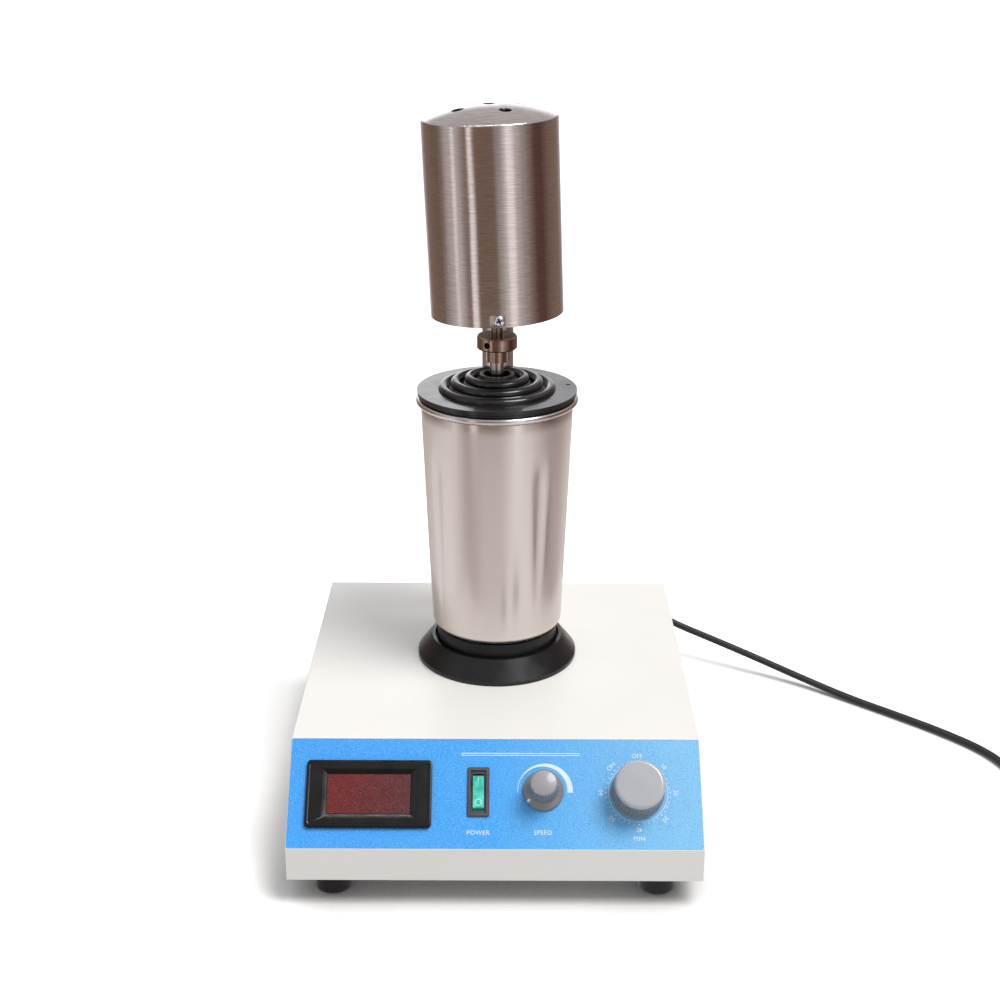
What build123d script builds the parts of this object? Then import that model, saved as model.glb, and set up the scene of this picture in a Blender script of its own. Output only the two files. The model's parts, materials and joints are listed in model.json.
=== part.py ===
from build123d import *
from math import ceil, cos, hypot, pi, radians, sin, sqrt, tan
import os

# Bench tissue homogenizer, in millimetres. Origin on the table under the middle of
# the base box, X to the right, Y to the back, Z up. The operator stands at -Y.

os.makedirs("parts", exist_ok=True)

# Base box, folded from sheet
BOX_WIDTH = 260.0
BOX_DEPTH = 294.0
BOX_HEIGHT = 71.4
BAND_HEIGHT = 22.4
SLOPE_RUN = 51.5
SHEET = 1.2
BEND_R = 2.0
SIDE_EDGE_R = 0.6
RETURN_FLANGE = 14.0

# Bottom plate and feet
PLATE_T = 1.5
PLATE_INSET = 7.5
FOOT_HEIGHT = 16.9
FOOT_R = 11.7
FOOT_INSET_X = 27.0
FOOT_INSET_Y = 22.0
FOOT_EDGE_R = 2.0
FOOT_RECESS_R = 5.0
FOOT_WEB = 7.0
PLATE_SCREW_INSET = 11.0

# M4 screws used through the whole machine
M4_R = 2.0
M4_HEAD_R = 3.4
M4_HEAD_H = 2.2
M4_NUT_FLATS = 7.0
M4_NUT_H = 3.2
SCREW_PLAY = 0.3
THREAD_PLAY = 0.05
RUNNING_PLAY = 0.05
FIT_PLAY = 0.03
REST_GAP = 0.3
LEAN_GAP = 0.4

# Cup seat and cup
CUP_Y = 30.0
SEAT_R = 55.7
SEAT_EDGE = 2.7
SEAT_TOP_R = 45.8
SEAT_HEIGHT = 15.2
SEAT_LIP = 2.2
SEAT_FLOOR = 8.2
SEAT_SCREW_R = 34.0
PAD_R = 42.0
PAD_HEIGHT = 16.0
PAD_SPIGOT_R = 24.4
PAD_SPIGOT_H = 2.0
CUP_BASE_R = 44.8
CUP_RIM_R = 51.2
CUP_HEIGHT = 165.6
CUP_WALL = 1.0
CUP_CORNER_R = 6.5
CUP_BEAD_R = 2.1
CUP_DIMPLE_R = 25.0
CUP_DIMPLE_H = 3.0
FLUTE_AZIMUTHS = (36, 126, 216, 306)
FLUTE_TOP_DROP = 36.0
FLUTE_BOTTOM_RISE = 9.0
FLUTE_TOP_R = 9.0
FLUTE_BOTTOM_R = 3.0
FLUTE_DEPTH = 2.4

# Rubber lid
LID_R = 53.5
LID_LOWER_R = 51.8
LID_GROOVE_R = 50.6
LID_FLANGE_H = 4.9
LID_PLUG_PLAY = 0.5
LID_PLUG_WALL = 4.0
LID_PLUG_DEPTH = 8.0
LID_HOLE_R = 9.0
LID_CROWN_H = 15.0
LID_FLAT_R = 41.5
LID_STEP_H = 1.5
LID_GROOVE_H = 0.8
LID_UNDER_H = 1.8
LID_CONE_R = 34.0
LID_CONE_TOP_R = 20.0
LID_CONE_TOP_H = 8.0
LID_EYE_H = 10.5
LID_EYE_FOOT_H = 13.0
LID_EYE_FOOT = 3.5
LID_EYE_WALL = 2.5
LID_VALLEY = 0.4
# Rings of the lid: radius, height of the crest, half width and height of the outer foot
LID_RINGS = [(36.0, 8.4, 3.3, 5.0), (27.6, 11.9, 3.2, 7.4), (18.2, 14.7, 3.1, 10.3)]

# Column, lift rod and clamp
COLLAR_GAP = 1.5
COLUMN_R = 11.25
COLUMN_DEPTH = 30.0
LIFT_ROD_R = 8.0
LIFT_ROD_BORE_R = 5.0
LIFT_ROD_OVERLAP = 65.0
LIFT = 165.0
FOOT_COLLAR_R = 14.8
FOOT_COLLAR_H = 12.0
BACKING_WIDTH = 70.0
BACKING_DEPTH = 46.0
BACKING_T = 5.0
COLUMN_NUT_FLATS = 32.0
COLUMN_NUT_H = 12.0
CLAMP_R = 18.0
CLAMP_H = 24.0
CLAMP_SOCKET = 10.0
CLAMP_SCREW_R = 3.0
CLAMP_SCREW_DROP = 10.0
KNOB_R = 13.0
KNOB_LENGTH = 16.0
KNOB_GAP = 4.0
KNOB_LOBES = 6

# Head: bracket, motor and cover
COVER_R = 43.8
COVER_WALL = 1.0
COVER_RISE = 57.3
COVER_HEIGHT = 124.9
COVER_DOME = 8.2
COVER_EDGE_R = 1.2
COVER_LEAN = 2.23
VENT_R = 4.0
VENT_RING_R = 22.0
VENT_START = 28.0
SLOT_WIDTH = 10.0
SLOT_HEIGHT = 6.7
SLOT_SHIFT = -1.4
COVER_SCREW_AZIMUTHS = (2.3, 122.3, 242.3)
ARM_SLOT_PLAY = 2.0
BRACKET_LIFT = 1.2
BRACKET_T = 8.0
BRACKET_PLAY = 0.9
ARM_WIDTH = 24.0
ARM_HEIGHT = 27.5
ARM_START = 36.0
BOSS_R = 17.0
BOSS_HEIGHT = 40.0
BOSS_CAP = 5.0
BEARING_R = 11.0
BEARING_H = 7.0
BEARING_LIP = 1.0
STATOR_R = 32.0
STATOR_H = 40.0
STATOR_RISE = 24.0
AIR_GAP = 0.8
POLE_ANGLE = 92.0
WINDOW_R = 26.0
WINDING_IN_R = 18.5
WINDING_OUT_R = 25.0
WINDING_END = 8.7
TIE_BOLT_R = 28.5
SPACER_R = 3.2
ARMATURE_R = 16.0
ARMATURE_SLOTS = 12
SLOT_DEPTH = 4.0
SLOT_MOUTH = 2.4
END_TURN_R = 14.5
END_TURN_H = 8.2
COMMUTATOR_R = 11.0
COMMUTATOR_H = 12.0
COMMUTATOR_BARS = 24
BAR_GAP = 0.5
FAN_R = 22.0
FAN_H = 9.0
FAN_BLADES = 8
FAN_RISE = 2.5
FAN_SHEET = 1.5
TOP_BRACKET_R = 33.0
TOP_BRACKET_T = 12.0
BRUSH_WIDTH = 5.0
BRUSH_HEIGHT = 8.0
BRUSH_LENGTH = 15.0
HOLDER_WALL = 2.0
HOLDER_LENGTH = 18.0
HOLDER_GAP = 1.5

# Drive line
MOTOR_SHAFT_R = 4.0
BLADE_SHAFT_R = 5.0
COUPLING_DROP = 15.9
COUPLING_COLLAR_R = 13.5
COUPLING_COLLAR_H = 8.8
COUPLING_HUB_R = 6.9
COUPLING_HUB_H = 8.9
COUPLING_WEB = 2.5
HUB_SOCKET = 4.8
GRUB_R = 2.1
GRUB_LENGTH = 6.0
GRUB_RECESS = 2.0
GRUB_AZIMUTHS = (-29, 151)
BLADE_CLEARANCE = 18.0
STUD_R = 3.0
STUD_LENGTH = 8.0
BLADE_T = 1.6
BLADE_WIDTH = 13.0
BLADE_REACH = 26.0
BLADE_FLAT = 9.0
BLADE_BEND = 20.0
BLADE_NUT_FLATS = 10.0
BLADE_NUT_H = 6.0

# Front panel: places are x across and s up the slope
LABEL_T = 0.4
LABEL_MARGIN = 0.6
METER_FROM_SIDE = 50.8
METER_X = METER_FROM_SIDE - BOX_WIDTH / 2
METER_S = 34.4
METER_WIDTH = 79.0
METER_HEIGHT = 43.0
METER_BEZEL = 3.0
METER_CORNER_R = 2.5
METER_BODY_INSET = 2.0
METER_DEPTH = 34.0
WINDOW_WIDTH = 52.0
WINDOW_HEIGHT = 25.0
WINDOW_T = 2.0
WINDOW_SINK = 1.6
SWITCH_X = -10.5
SWITCH_S = 36.1
SWITCH_WIDTH = 13.7
SWITCH_HEIGHT = 31.3
SWITCH_BEZEL = 1.8
SWITCH_RIM = 2.1
SWITCH_BODY_INSET = 1.2
SWITCH_DEPTH = 20.0
ROCKER_WIDTH = 6.9
ROCKER_LENGTH = 22.9
ROCKER_TILT = 8.0
ROCKER_PLAY = 0.3
ROCKER_PIVOT = -4.0
ROCKER_CROWN = 5.6
ROCKER_BELLY = 3.5
SPEED_X = 30.3
SPEED_S = 37.0
SPEED_SKIRT_R = 12.9
SPEED_SKIRT_H = 2.2
SPEED_CAP_R = 8.4
SPEED_CAP_FOOT_R = 9.3
SPEED_BODY_R = 12.0
TIMER_FROM_SIDE = 40.5
TIMER_X = BOX_WIDTH / 2 - TIMER_FROM_SIDE
TIMER_S = 36.3
TIMER_CAP_R = 15.3
TIMER_FOOT_R = 16.7
TIMER_SIDE = 36.0
TIMER_DEPTH = 26.0
KNOB_HEIGHT = 20.0
KNOB_FLOAT = 0.8
KNOB_HOLLOW = 6.0
KNOB_WALL = 2.0
KNOB_EDGE_R = 0.8
KNOB_RIBS = 30
RIB_DEPTH = 0.5
SPINDLE_R = 3.0
SPINDLE_TIP = 4.0
BUSH_R = 4.5
BUSH_LENGTH = 5.0
PANEL_NUT_FLATS = 10.0
PANEL_NUT_H = 2.2
POT_DEPTH = 12.0

# Control board in the base box
BOARD_X = -25.0
BOARD_Y = 45.0
BOARD_WIDTH = 110.0
BOARD_DEPTH = 80.0
BOARD_T = 1.6
STANDOFF_R = 3.5
STANDOFF_H = 9.0
STANDOFF_INSET = 5.0
SINK_WIDTH = 50.0
SINK_DEPTH = 30.0
SINK_HEIGHT = 25.0
SINK_BASE = 4.0
SINK_FIN = 1.5
SINK_FINS = 6

# Mains cord
CORD_R = 2.7
CORD_LIFT = 0.05
GLAND_FROM_SIDE = 38.0
GLAND_X = BOX_WIDTH / 2 - GLAND_FROM_SIDE
GLAND_Z = 50.0
GLAND_HEAD_R = 8.0
GLAND_HEAD_T = 3.0
GLAND_ROOT_R = 6.0
GLAND_TIP_R = 3.9
GLAND_LENGTH = 27.0
GLAND_INSIDE = 9.0
GLAND_RINGS = 4
COIL_X = 425.0
COIL_Y = -10.0
COIL_INNER_R = 22.4
COIL_PITCH = 5.94
COIL_TURNS = 6.4444
COIL_START = 200.0
COIL_SPANS = 26
COIL_SOFTEN = 30.0
COIL_TAIL = 24.0
PLUG_BOOT = 22.0
PLUG_BOOT_R = 4.6
PLUG_ROOT_R = 6.5
PLUG_WIDTH = 34.0
PLUG_TIP_WIDTH = 27.0
PLUG_LENGTH = 30.0
PLUG_EDGE_R = 2.5
PIN_WIDTH = 6.3
PIN_T = 1.6
PIN_LENGTH = 18.0
PIN_SPREAD = 7.9
PIN_DROP = 3.2

# Levels and places worked out from the sizes above
front_y = -BOX_DEPTH / 2
rear_y = BOX_DEPTH / 2
box_z = FOOT_HEIGHT + PLATE_T
slope_z = box_z + BAND_HEIGHT
top_z = box_z + BOX_HEIGHT
slope_rise = top_z - slope_z
slope_length = hypot(SLOPE_RUN, slope_rise)
top_under_z = top_z - SHEET
column_y = CUP_Y + SEAT_R + COLLAR_GAP + FOOT_COLLAR_R
pad_z = top_z + SEAT_FLOOR
cup_z = pad_z + PAD_HEIGHT
rim_z = cup_z + CUP_HEIGHT
cover_z = rim_z + COVER_RISE
bracket_z = cover_z + BRACKET_LIFT
bracket_top_z = bracket_z + BRACKET_T
clamp_top_z = bracket_z - REST_GAP
clamp_z = clamp_top_z - CLAMP_H
column_top_z = clamp_z + CLAMP_SOCKET
column_foot_z = top_z - COLUMN_DEPTH
clamp_screw_z = clamp_top_z - CLAMP_SCREW_DROP
boss_top_z = bracket_z + BOSS_HEIGHT
rod_top_z = boss_top_z - BOSS_CAP
rod_foot_z = column_top_z - LIFT_ROD_OVERLAP - LIFT
stator_z = bracket_top_z + STATOR_RISE
stator_top_z = stator_z + STATOR_H
top_bracket_z = stator_top_z + STATOR_RISE
top_bearing_z = top_bracket_z + BEARING_H
coupling_top_z = cover_z - COUPLING_DROP
collar_z = coupling_top_z - COUPLING_COLLAR_H
hub_z = collar_z - COUPLING_HUB_H
motor_shaft_z = hub_z + HUB_SOCKET + COUPLING_WEB
shoulder_z = cup_z + BLADE_CLEARANCE
lid_z = rim_z + REST_GAP
cord_z = CORD_R + CORD_LIFT

cup_axis = Axis((0, CUP_Y, 0), (0, 0, 1))
cup_section = Plane(origin=(0, CUP_Y, 0), x_dir=(1, 0, 0), z_dir=(0, -1, 0))
panel = Plane(origin=(0, front_y, slope_z), x_dir=(1, 0, 0), z_dir=(0, -slope_rise, SLOPE_RUN))


# Shapes that many pieces share

def post(center, radius, z_low, z_high, mode=Mode.ADD):
    """Upright cylinder between two levels."""
    with BuildSketch(Plane.XY.offset(z_low)) as outline:
        with Locations(center):
            Circle(radius)
    extrude(outline.sketch, amount=z_high - z_low, mode=mode)


def turned(section, axis, *points):
    """Solid turned from a closed outline of radius and height."""
    with BuildSketch(section) as outline:
        with BuildLine():
            Polyline(*points, close=True)
        make_face()
    revolve(outline.sketch, axis=axis)


def panel_block(x, s, width, height, low, high, corner_r=0, mode=Mode.ADD):
    """Block square to the front panel, between two distances from its sheet."""
    with BuildSketch(panel.offset(low)) as outline:
        with Locations((x, s)):
            if corner_r:
                RectangleRounded(width, height, corner_r)
            else:
                Rectangle(width, height)
    extrude(outline.sketch, amount=high - low, mode=mode)


def panel_post(x, s, radius, low, high, mode=Mode.ADD):
    """Cylinder square to the front panel."""
    with BuildSketch(panel.offset(low)) as outline:
        with Locations((x, s)):
            Circle(radius)
    extrude(outline.sketch, amount=high - low, mode=mode)


def hexagon(center, flats, z_low, z_high):
    """Upright nut blank."""
    with BuildSketch(Plane.XY.offset(z_low)) as outline:
        with Locations(center):
            RegularPolygon(flats / 2, 6, major_radius=False)
    extrude(outline.sketch, amount=z_high - z_low)


def corners(half_x, half_y):
    """The four corners of a rectangle about the origin."""
    return [(x, y) for x in (-half_x, half_x) for y in (-half_y, half_y)]


foot_places = corners(BOX_WIDTH / 2 - FOOT_INSET_X, BOX_DEPTH / 2 - FOOT_INSET_Y)
plate_half_x = BOX_WIDTH / 2 - PLATE_INSET
plate_half_y = BOX_DEPTH / 2 - PLATE_INSET
plate_screw_places = [
    *corners(BOX_WIDTH / 2 - PLATE_SCREW_INSET, BOX_DEPTH / 4),
    (0, plate_half_y - PLATE_SCREW_INSET + PLATE_INSET),
    (0, PLATE_SCREW_INSET - PLATE_INSET - plate_half_y),
]
with PolarLocations(SEAT_SCREW_R, 3, start_angle=90) as seat_ring:
    seat_screw_places = [(spot.position.X, spot.position.Y + CUP_Y) for spot in seat_ring]


# Base box: bent front, hollow, with return flanges round its open bottom
box_outline = [
    (front_y, box_z),
    (front_y, slope_z),
    (front_y + SLOPE_RUN, top_z),
    (rear_y, top_z),
    (rear_y, box_z),
]

with BuildPart() as base_housing:
    with BuildSketch(Plane.YZ.offset(-BOX_WIDTH / 2)) as box_profile:
        with BuildLine():
            Polyline(*box_outline, close=True)
        make_face()
        bends = box_profile.vertices().filter_by_position(Axis.Z, slope_z - 1, top_z + 1)
        fillet(bends, BEND_R)
    extrude(amount=BOX_WIDTH)
    side_faces = base_housing.faces().filter_by(Axis.X)
    side_edges = [edge for face in side_faces for edge in face.edges()]
    rounded = [edge for edge in side_edges if edge.center().Z > box_z + 1]
    fillet(rounded, SIDE_EDGE_R)
    with BuildSketch(Plane.YZ.offset(SHEET - BOX_WIDTH / 2)) as hollow_profile:
        with BuildLine():
            Polyline(*box_outline, close=True)
        make_face()
        offset(amount=-SHEET)
    extrude(amount=BOX_WIDTH - 2 * SHEET, mode=Mode.SUBTRACT)
    with BuildSketch(Plane.XY.offset(box_z)):
        Rectangle(BOX_WIDTH - 2 * RETURN_FLANGE, BOX_DEPTH - 2 * RETURN_FLANGE)
    extrude(amount=SHEET, mode=Mode.SUBTRACT)
    for place in plate_screw_places:
        post(place, M4_R + THREAD_PLAY, box_z, box_z + SHEET, Mode.SUBTRACT)
    for place in seat_screw_places:
        post(place, M4_R + SCREW_PLAY, top_under_z, top_z, Mode.SUBTRACT)
    post((0, column_y), COLUMN_R + SCREW_PLAY, top_under_z, top_z, Mode.SUBTRACT)
    cutout_low = -SHEET - BEND_R
    panel_block(
        METER_X, METER_S, METER_WIDTH - 2 * METER_BODY_INSET + SCREW_PLAY,
        METER_HEIGHT - 2 * METER_BODY_INSET + SCREW_PLAY, cutout_low, 0, mode=Mode.SUBTRACT,
    )
    panel_block(
        SWITCH_X, SWITCH_S, SWITCH_WIDTH - 2 * SWITCH_BODY_INSET + SCREW_PLAY,
        SWITCH_HEIGHT - 2 * SWITCH_BODY_INSET + SCREW_PLAY, cutout_low, 0, mode=Mode.SUBTRACT,
    )
    panel_post(SPEED_X, SPEED_S, BUSH_R + SCREW_PLAY, cutout_low, 0, Mode.SUBTRACT)
    panel_post(TIMER_X, TIMER_S, BUSH_R + SCREW_PLAY, cutout_low, 0, Mode.SUBTRACT)
    with BuildSketch(Plane.XZ.offset(-rear_y)):
        with Locations((GLAND_X, GLAND_Z)):
            Circle(GLAND_ROOT_R + SCREW_PLAY)
    extrude(amount=SHEET, mode=Mode.SUBTRACT)

with BuildPart() as bottom_plate:
    with BuildSketch(Plane.XY.offset(FOOT_HEIGHT)):
        Rectangle(2 * plate_half_x, 2 * plate_half_y)
    extrude(amount=PLATE_T)
    for place in plate_screw_places + foot_places:
        post(place, M4_R + SCREW_PLAY, FOOT_HEIGHT, box_z, Mode.SUBTRACT)

with BuildPart() as plate_screws:
    for place in plate_screw_places:
        post(place, M4_HEAD_R, FOOT_HEIGHT - M4_HEAD_H, FOOT_HEIGHT)
        post(place, M4_R, FOOT_HEIGHT, box_z + SHEET + 2 * M4_R)

with BuildPart() as rubber_feet:
    for place in foot_places:
        post(place, FOOT_R, 0, FOOT_HEIGHT)
    foot_rims = rubber_feet.edges().filter_by(GeomType.CIRCLE).group_by(Axis.Z)[0]
    fillet(foot_rims, FOOT_EDGE_R)
    for place in foot_places:
        post(place, FOOT_RECESS_R, 0, FOOT_HEIGHT - FOOT_WEB, Mode.SUBTRACT)
        post(place, M4_R + SCREW_PLAY, 0, FOOT_HEIGHT, Mode.SUBTRACT)

foot_nut_z = box_z
with BuildPart() as foot_bolts:
    for place in foot_places:
        post(place, M4_HEAD_R, FOOT_HEIGHT - FOOT_WEB - M4_HEAD_H, FOOT_HEIGHT - FOOT_WEB)
        post(place, M4_R, FOOT_HEIGHT - FOOT_WEB, foot_nut_z + M4_NUT_H + M4_R)
        hexagon(place, M4_NUT_FLATS, foot_nut_z, foot_nut_z + M4_NUT_H)
        post(place, M4_R + THREAD_PLAY, foot_nut_z, foot_nut_z + M4_NUT_H, Mode.SUBTRACT)


# Front panel label with its cut-outs
with BuildPart() as control_panel:
    panel_block(
        0, slope_length / 2, BOX_WIDTH - 2 * LABEL_MARGIN, slope_length - 2 * LABEL_MARGIN,
        0, LABEL_T, corner_r=1.0,
    )
    panel_block(
        METER_X, METER_S, METER_WIDTH - 2 * METER_BODY_INSET + SCREW_PLAY,
        METER_HEIGHT - 2 * METER_BODY_INSET + SCREW_PLAY, 0, LABEL_T, mode=Mode.SUBTRACT,
    )
    panel_block(
        SWITCH_X, SWITCH_S, SWITCH_WIDTH - 2 * SWITCH_BODY_INSET + SCREW_PLAY,
        SWITCH_HEIGHT - 2 * SWITCH_BODY_INSET + SCREW_PLAY, 0, LABEL_T, mode=Mode.SUBTRACT,
    )
    panel_post(SPEED_X, SPEED_S, BUSH_R + SCREW_PLAY, 0, LABEL_T, Mode.SUBTRACT)
    panel_post(TIMER_X, TIMER_S, BUSH_R + SCREW_PLAY, 0, LABEL_T, Mode.SUBTRACT)

# Panel meter: bezel and body in one moulding, with its red window set back
meter_face = LABEL_T + METER_BEZEL
window_low = meter_face - WINDOW_SINK - WINDOW_T
with BuildPart() as meter_case:
    panel_block(METER_X, METER_S, METER_WIDTH, METER_HEIGHT, LABEL_T, meter_face, METER_CORNER_R)
    panel_block(
        METER_X, METER_S, METER_WIDTH - 2 * METER_BODY_INSET, METER_HEIGHT - 2 * METER_BODY_INSET,
        LABEL_T - METER_DEPTH, LABEL_T,
    )
    panel_block(
        METER_X, METER_S, WINDOW_WIDTH + 2 * FIT_PLAY, WINDOW_HEIGHT + 2 * FIT_PLAY,
        window_low, meter_face, mode=Mode.SUBTRACT,
    )

with BuildPart() as meter_window:
    panel_block(METER_X, METER_S, WINDOW_WIDTH, WINDOW_HEIGHT, window_low, window_low + WINDOW_T)

# Power switch: frame with a well, and the rocker that tilts in it
switch_face = LABEL_T + SWITCH_BEZEL
rocker_r = ROCKER_LENGTH / 2
well_width = ROCKER_WIDTH + 2 * ROCKER_PLAY
well_height = ROCKER_LENGTH + 2 * ROCKER_PLAY
with BuildPart() as switch_frame:
    panel_block(SWITCH_X, SWITCH_S, SWITCH_WIDTH, SWITCH_HEIGHT, LABEL_T, switch_face, 0.8)
    panel_block(
        SWITCH_X, SWITCH_S, SWITCH_WIDTH - 2 * SWITCH_BODY_INSET,
        SWITCH_HEIGHT - 2 * SWITCH_BODY_INSET, LABEL_T - SWITCH_DEPTH, LABEL_T,
    )
    panel_block(
        SWITCH_X, SWITCH_S, SWITCH_WIDTH - 2 * SWITCH_RIM, SWITCH_HEIGHT - 2 * SWITCH_RIM,
        LABEL_T, switch_face, mode=Mode.SUBTRACT,
    )
    panel_block(
        SWITCH_X, SWITCH_S, well_width, well_height,
        ROCKER_PIVOT - ROCKER_BELLY - 2 * ROCKER_PLAY - 2.0, switch_face, mode=Mode.SUBTRACT,
    )

# The rocker lies in a plane across its pivot, with X up the slope and Y out of the panel
rocker_pivot = panel.from_local_coords((SWITCH_X, SWITCH_S, ROCKER_PIVOT))
rocker_up = panel.y_dir * cos(radians(ROCKER_TILT)) + panel.z_dir * sin(radians(ROCKER_TILT))
rocker_section = Plane(origin=rocker_pivot, x_dir=rocker_up, z_dir=panel.x_dir)
rocker_end_rise = ROCKER_CROWN + rocker_r * tan(radians(ROCKER_TILT))
with BuildPart() as power_rocker:
    with BuildSketch(rocker_section.offset(-ROCKER_WIDTH / 2)):
        with BuildLine():
            Polyline(
                (-rocker_r, -ROCKER_BELLY), (rocker_r, -ROCKER_BELLY), (rocker_r, rocker_end_rise),
                (0, ROCKER_CROWN), (-rocker_r, rocker_end_rise), close=True,
            )
        make_face()
        Circle(rocker_r, mode=Mode.INTERSECT)
    extrude(amount=ROCKER_WIDTH)


# Speed control and timer: body behind the sheet, bush, nut, spindle and knob

def panel_nut(x, s):
    """Flat nut on a control's bush."""
    with BuildSketch(panel.offset(LABEL_T)) as outline:
        with Locations((x, s)):
            RegularPolygon(PANEL_NUT_FLATS / 2, 6, major_radius=False)
            Circle(BUSH_R + THREAD_PLAY, mode=Mode.SUBTRACT)
    extrude(outline.sketch, amount=PANEL_NUT_H)


def knob_ribs(x, s, radius, low, high):
    """Fine grip grooves round a knob."""
    with BuildSketch(panel.offset(low)) as outline:
        with Locations((x, s)):
            with PolarLocations(radius, KNOB_RIBS):
                Circle(RIB_DEPTH)
    extrude(outline.sketch, amount=high - low, mode=Mode.SUBTRACT)


def spindle_bore(x, s, low):
    """Bore that carries a control's spindle."""
    panel_post(x, s, SPINDLE_R + RUNNING_PLAY, low, BUSH_LENGTH, Mode.SUBTRACT)


knob_low = LABEL_T + KNOB_FLOAT
knob_high = LABEL_T + KNOB_HEIGHT
hollow_high = knob_low + KNOB_HOLLOW
spindle_high = knob_high - SPINDLE_TIP
spindle_low = -SHEET - POT_DEPTH / 2

with BuildPart() as speed_control:
    panel_post(SPEED_X, SPEED_S, SPEED_BODY_R, -SHEET - POT_DEPTH, -SHEET)
    panel_post(SPEED_X, SPEED_S, BUSH_R, -SHEET, BUSH_LENGTH)
    spindle_bore(SPEED_X, SPEED_S, spindle_low - RUNNING_PLAY)

with BuildPart() as timer_body:
    panel_block(TIMER_X, TIMER_S, TIMER_SIDE, TIMER_SIDE, -SHEET - TIMER_DEPTH, -SHEET, 2.0)
    panel_post(TIMER_X, TIMER_S, BUSH_R, -SHEET, BUSH_LENGTH)
    spindle_bore(TIMER_X, TIMER_S, spindle_low - RUNNING_PLAY)

with BuildPart() as control_nuts:
    panel_nut(SPEED_X, SPEED_S)
    panel_nut(TIMER_X, TIMER_S)

with BuildPart() as speed_spindle:
    panel_post(SPEED_X, SPEED_S, SPINDLE_R, spindle_low, spindle_high)

with BuildPart() as timer_spindle:
    panel_post(TIMER_X, TIMER_S, SPINDLE_R, spindle_low, spindle_high)

with BuildPart() as speed_knob:
    panel_post(SPEED_X, SPEED_S, SPEED_SKIRT_R, knob_low, knob_low + SPEED_SKIRT_H)
    skirt_rim = speed_knob.edges().filter_by(GeomType.CIRCLE).sort_by(Axis(panel.origin, panel.z_dir))[-1]
    fillet(skirt_rim, KNOB_EDGE_R)
    with BuildSketch(panel.offset(knob_low + SPEED_SKIRT_H / 2)):
        with Locations((SPEED_X, SPEED_S)):
            Circle(SPEED_CAP_FOOT_R)
    with BuildSketch(panel.offset(knob_high)):
        with Locations((SPEED_X, SPEED_S)):
            Circle(SPEED_CAP_R)
    loft()
    cap_rim = speed_knob.edges().filter_by(GeomType.CIRCLE).sort_by(Axis(panel.origin, panel.z_dir))[-1]
    fillet(cap_rim, KNOB_EDGE_R)
    knob_ribs(SPEED_X, SPEED_S, SPEED_CAP_FOOT_R, knob_low + SPEED_SKIRT_H, knob_high - 3 * KNOB_EDGE_R)
    panel_post(SPEED_X, SPEED_S, SPEED_CAP_FOOT_R - KNOB_WALL, knob_low, hollow_high, Mode.SUBTRACT)
    panel_post(SPEED_X, SPEED_S, SPINDLE_R + FIT_PLAY, hollow_high, spindle_high, Mode.SUBTRACT)

with BuildPart() as timer_knob:
    with BuildSketch(panel.offset(knob_low)):
        with Locations((TIMER_X, TIMER_S)):
            Circle(TIMER_FOOT_R)
    with BuildSketch(panel.offset(knob_high)):
        with Locations((TIMER_X, TIMER_S)):
            Circle(TIMER_CAP_R)
    loft()
    cap_rim = timer_knob.edges().filter_by(GeomType.CIRCLE).sort_by(Axis(panel.origin, panel.z_dir))[-1]
    fillet(cap_rim, KNOB_EDGE_R)
    knob_ribs(TIMER_X, TIMER_S, TIMER_FOOT_R, knob_low, knob_high - 4 * KNOB_EDGE_R)
    panel_post(TIMER_X, TIMER_S, TIMER_CAP_R - KNOB_WALL, knob_low, hollow_high, Mode.SUBTRACT)
    panel_post(TIMER_X, TIMER_S, SPINDLE_R + FIT_PLAY, hollow_high, spindle_high, Mode.SUBTRACT)


# Control board on standoffs, with a finned heat sink
board_z = box_z + STANDOFF_H
board_half_x = BOARD_WIDTH / 2 - STANDOFF_INSET
board_half_y = BOARD_DEPTH / 2 - STANDOFF_INSET
standoff_places = [(BOARD_X + x, BOARD_Y + y) for x, y in corners(board_half_x, board_half_y)]

with BuildPart() as control_board:
    with BuildSketch(Plane.XY.offset(board_z)):
        with Locations((BOARD_X, BOARD_Y)):
            Rectangle(BOARD_WIDTH, BOARD_DEPTH)
    extrude(amount=BOARD_T)

with BuildPart() as board_standoffs:
    for place in standoff_places:
        post(place, STANDOFF_R, box_z, board_z)

with BuildPart() as heat_sink:
    with BuildSketch(Plane.XY.offset(board_z + BOARD_T)):
        with Locations((BOARD_X, BOARD_Y)):
            Rectangle(SINK_WIDTH, SINK_DEPTH)
    extrude(amount=SINK_BASE)
    with BuildSketch(Plane.XY.offset(board_z + BOARD_T + SINK_BASE)):
        with Locations((BOARD_X, BOARD_Y)):
            with GridLocations((SINK_WIDTH - SINK_FIN) / (SINK_FINS - 1), 0, SINK_FINS, 1):
                Rectangle(SINK_FIN, SINK_DEPTH)
    extrude(amount=SINK_HEIGHT - SINK_BASE)


# Cup seat on the box, and the rubber pad that the cup stands on
with BuildPart() as cup_seat:
    turned(
        cup_section, cup_axis,
        (0, top_z), (SEAT_R, top_z), (SEAT_R, top_z + SEAT_EDGE), (SEAT_TOP_R, top_z + SEAT_HEIGHT),
        (SEAT_TOP_R - SEAT_LIP, top_z + SEAT_HEIGHT), (SEAT_TOP_R - SEAT_LIP, pad_z), (0, pad_z),
    )
    for place in seat_screw_places:
        post(place, M4_R + THREAD_PLAY, top_z, pad_z - 1.0, Mode.SUBTRACT)

with BuildPart() as seat_screws:
    for place in seat_screw_places:
        post(place, M4_HEAD_R, top_under_z - M4_HEAD_H, top_under_z)
        post(place, M4_R, top_under_z, pad_z - 1.5)

with BuildPart() as seat_pad:
    post((0, CUP_Y), PAD_R, pad_z, cup_z)
    post((0, CUP_Y), PAD_SPIGOT_R, cup_z, cup_z + PAD_SPIGOT_H)

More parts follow.
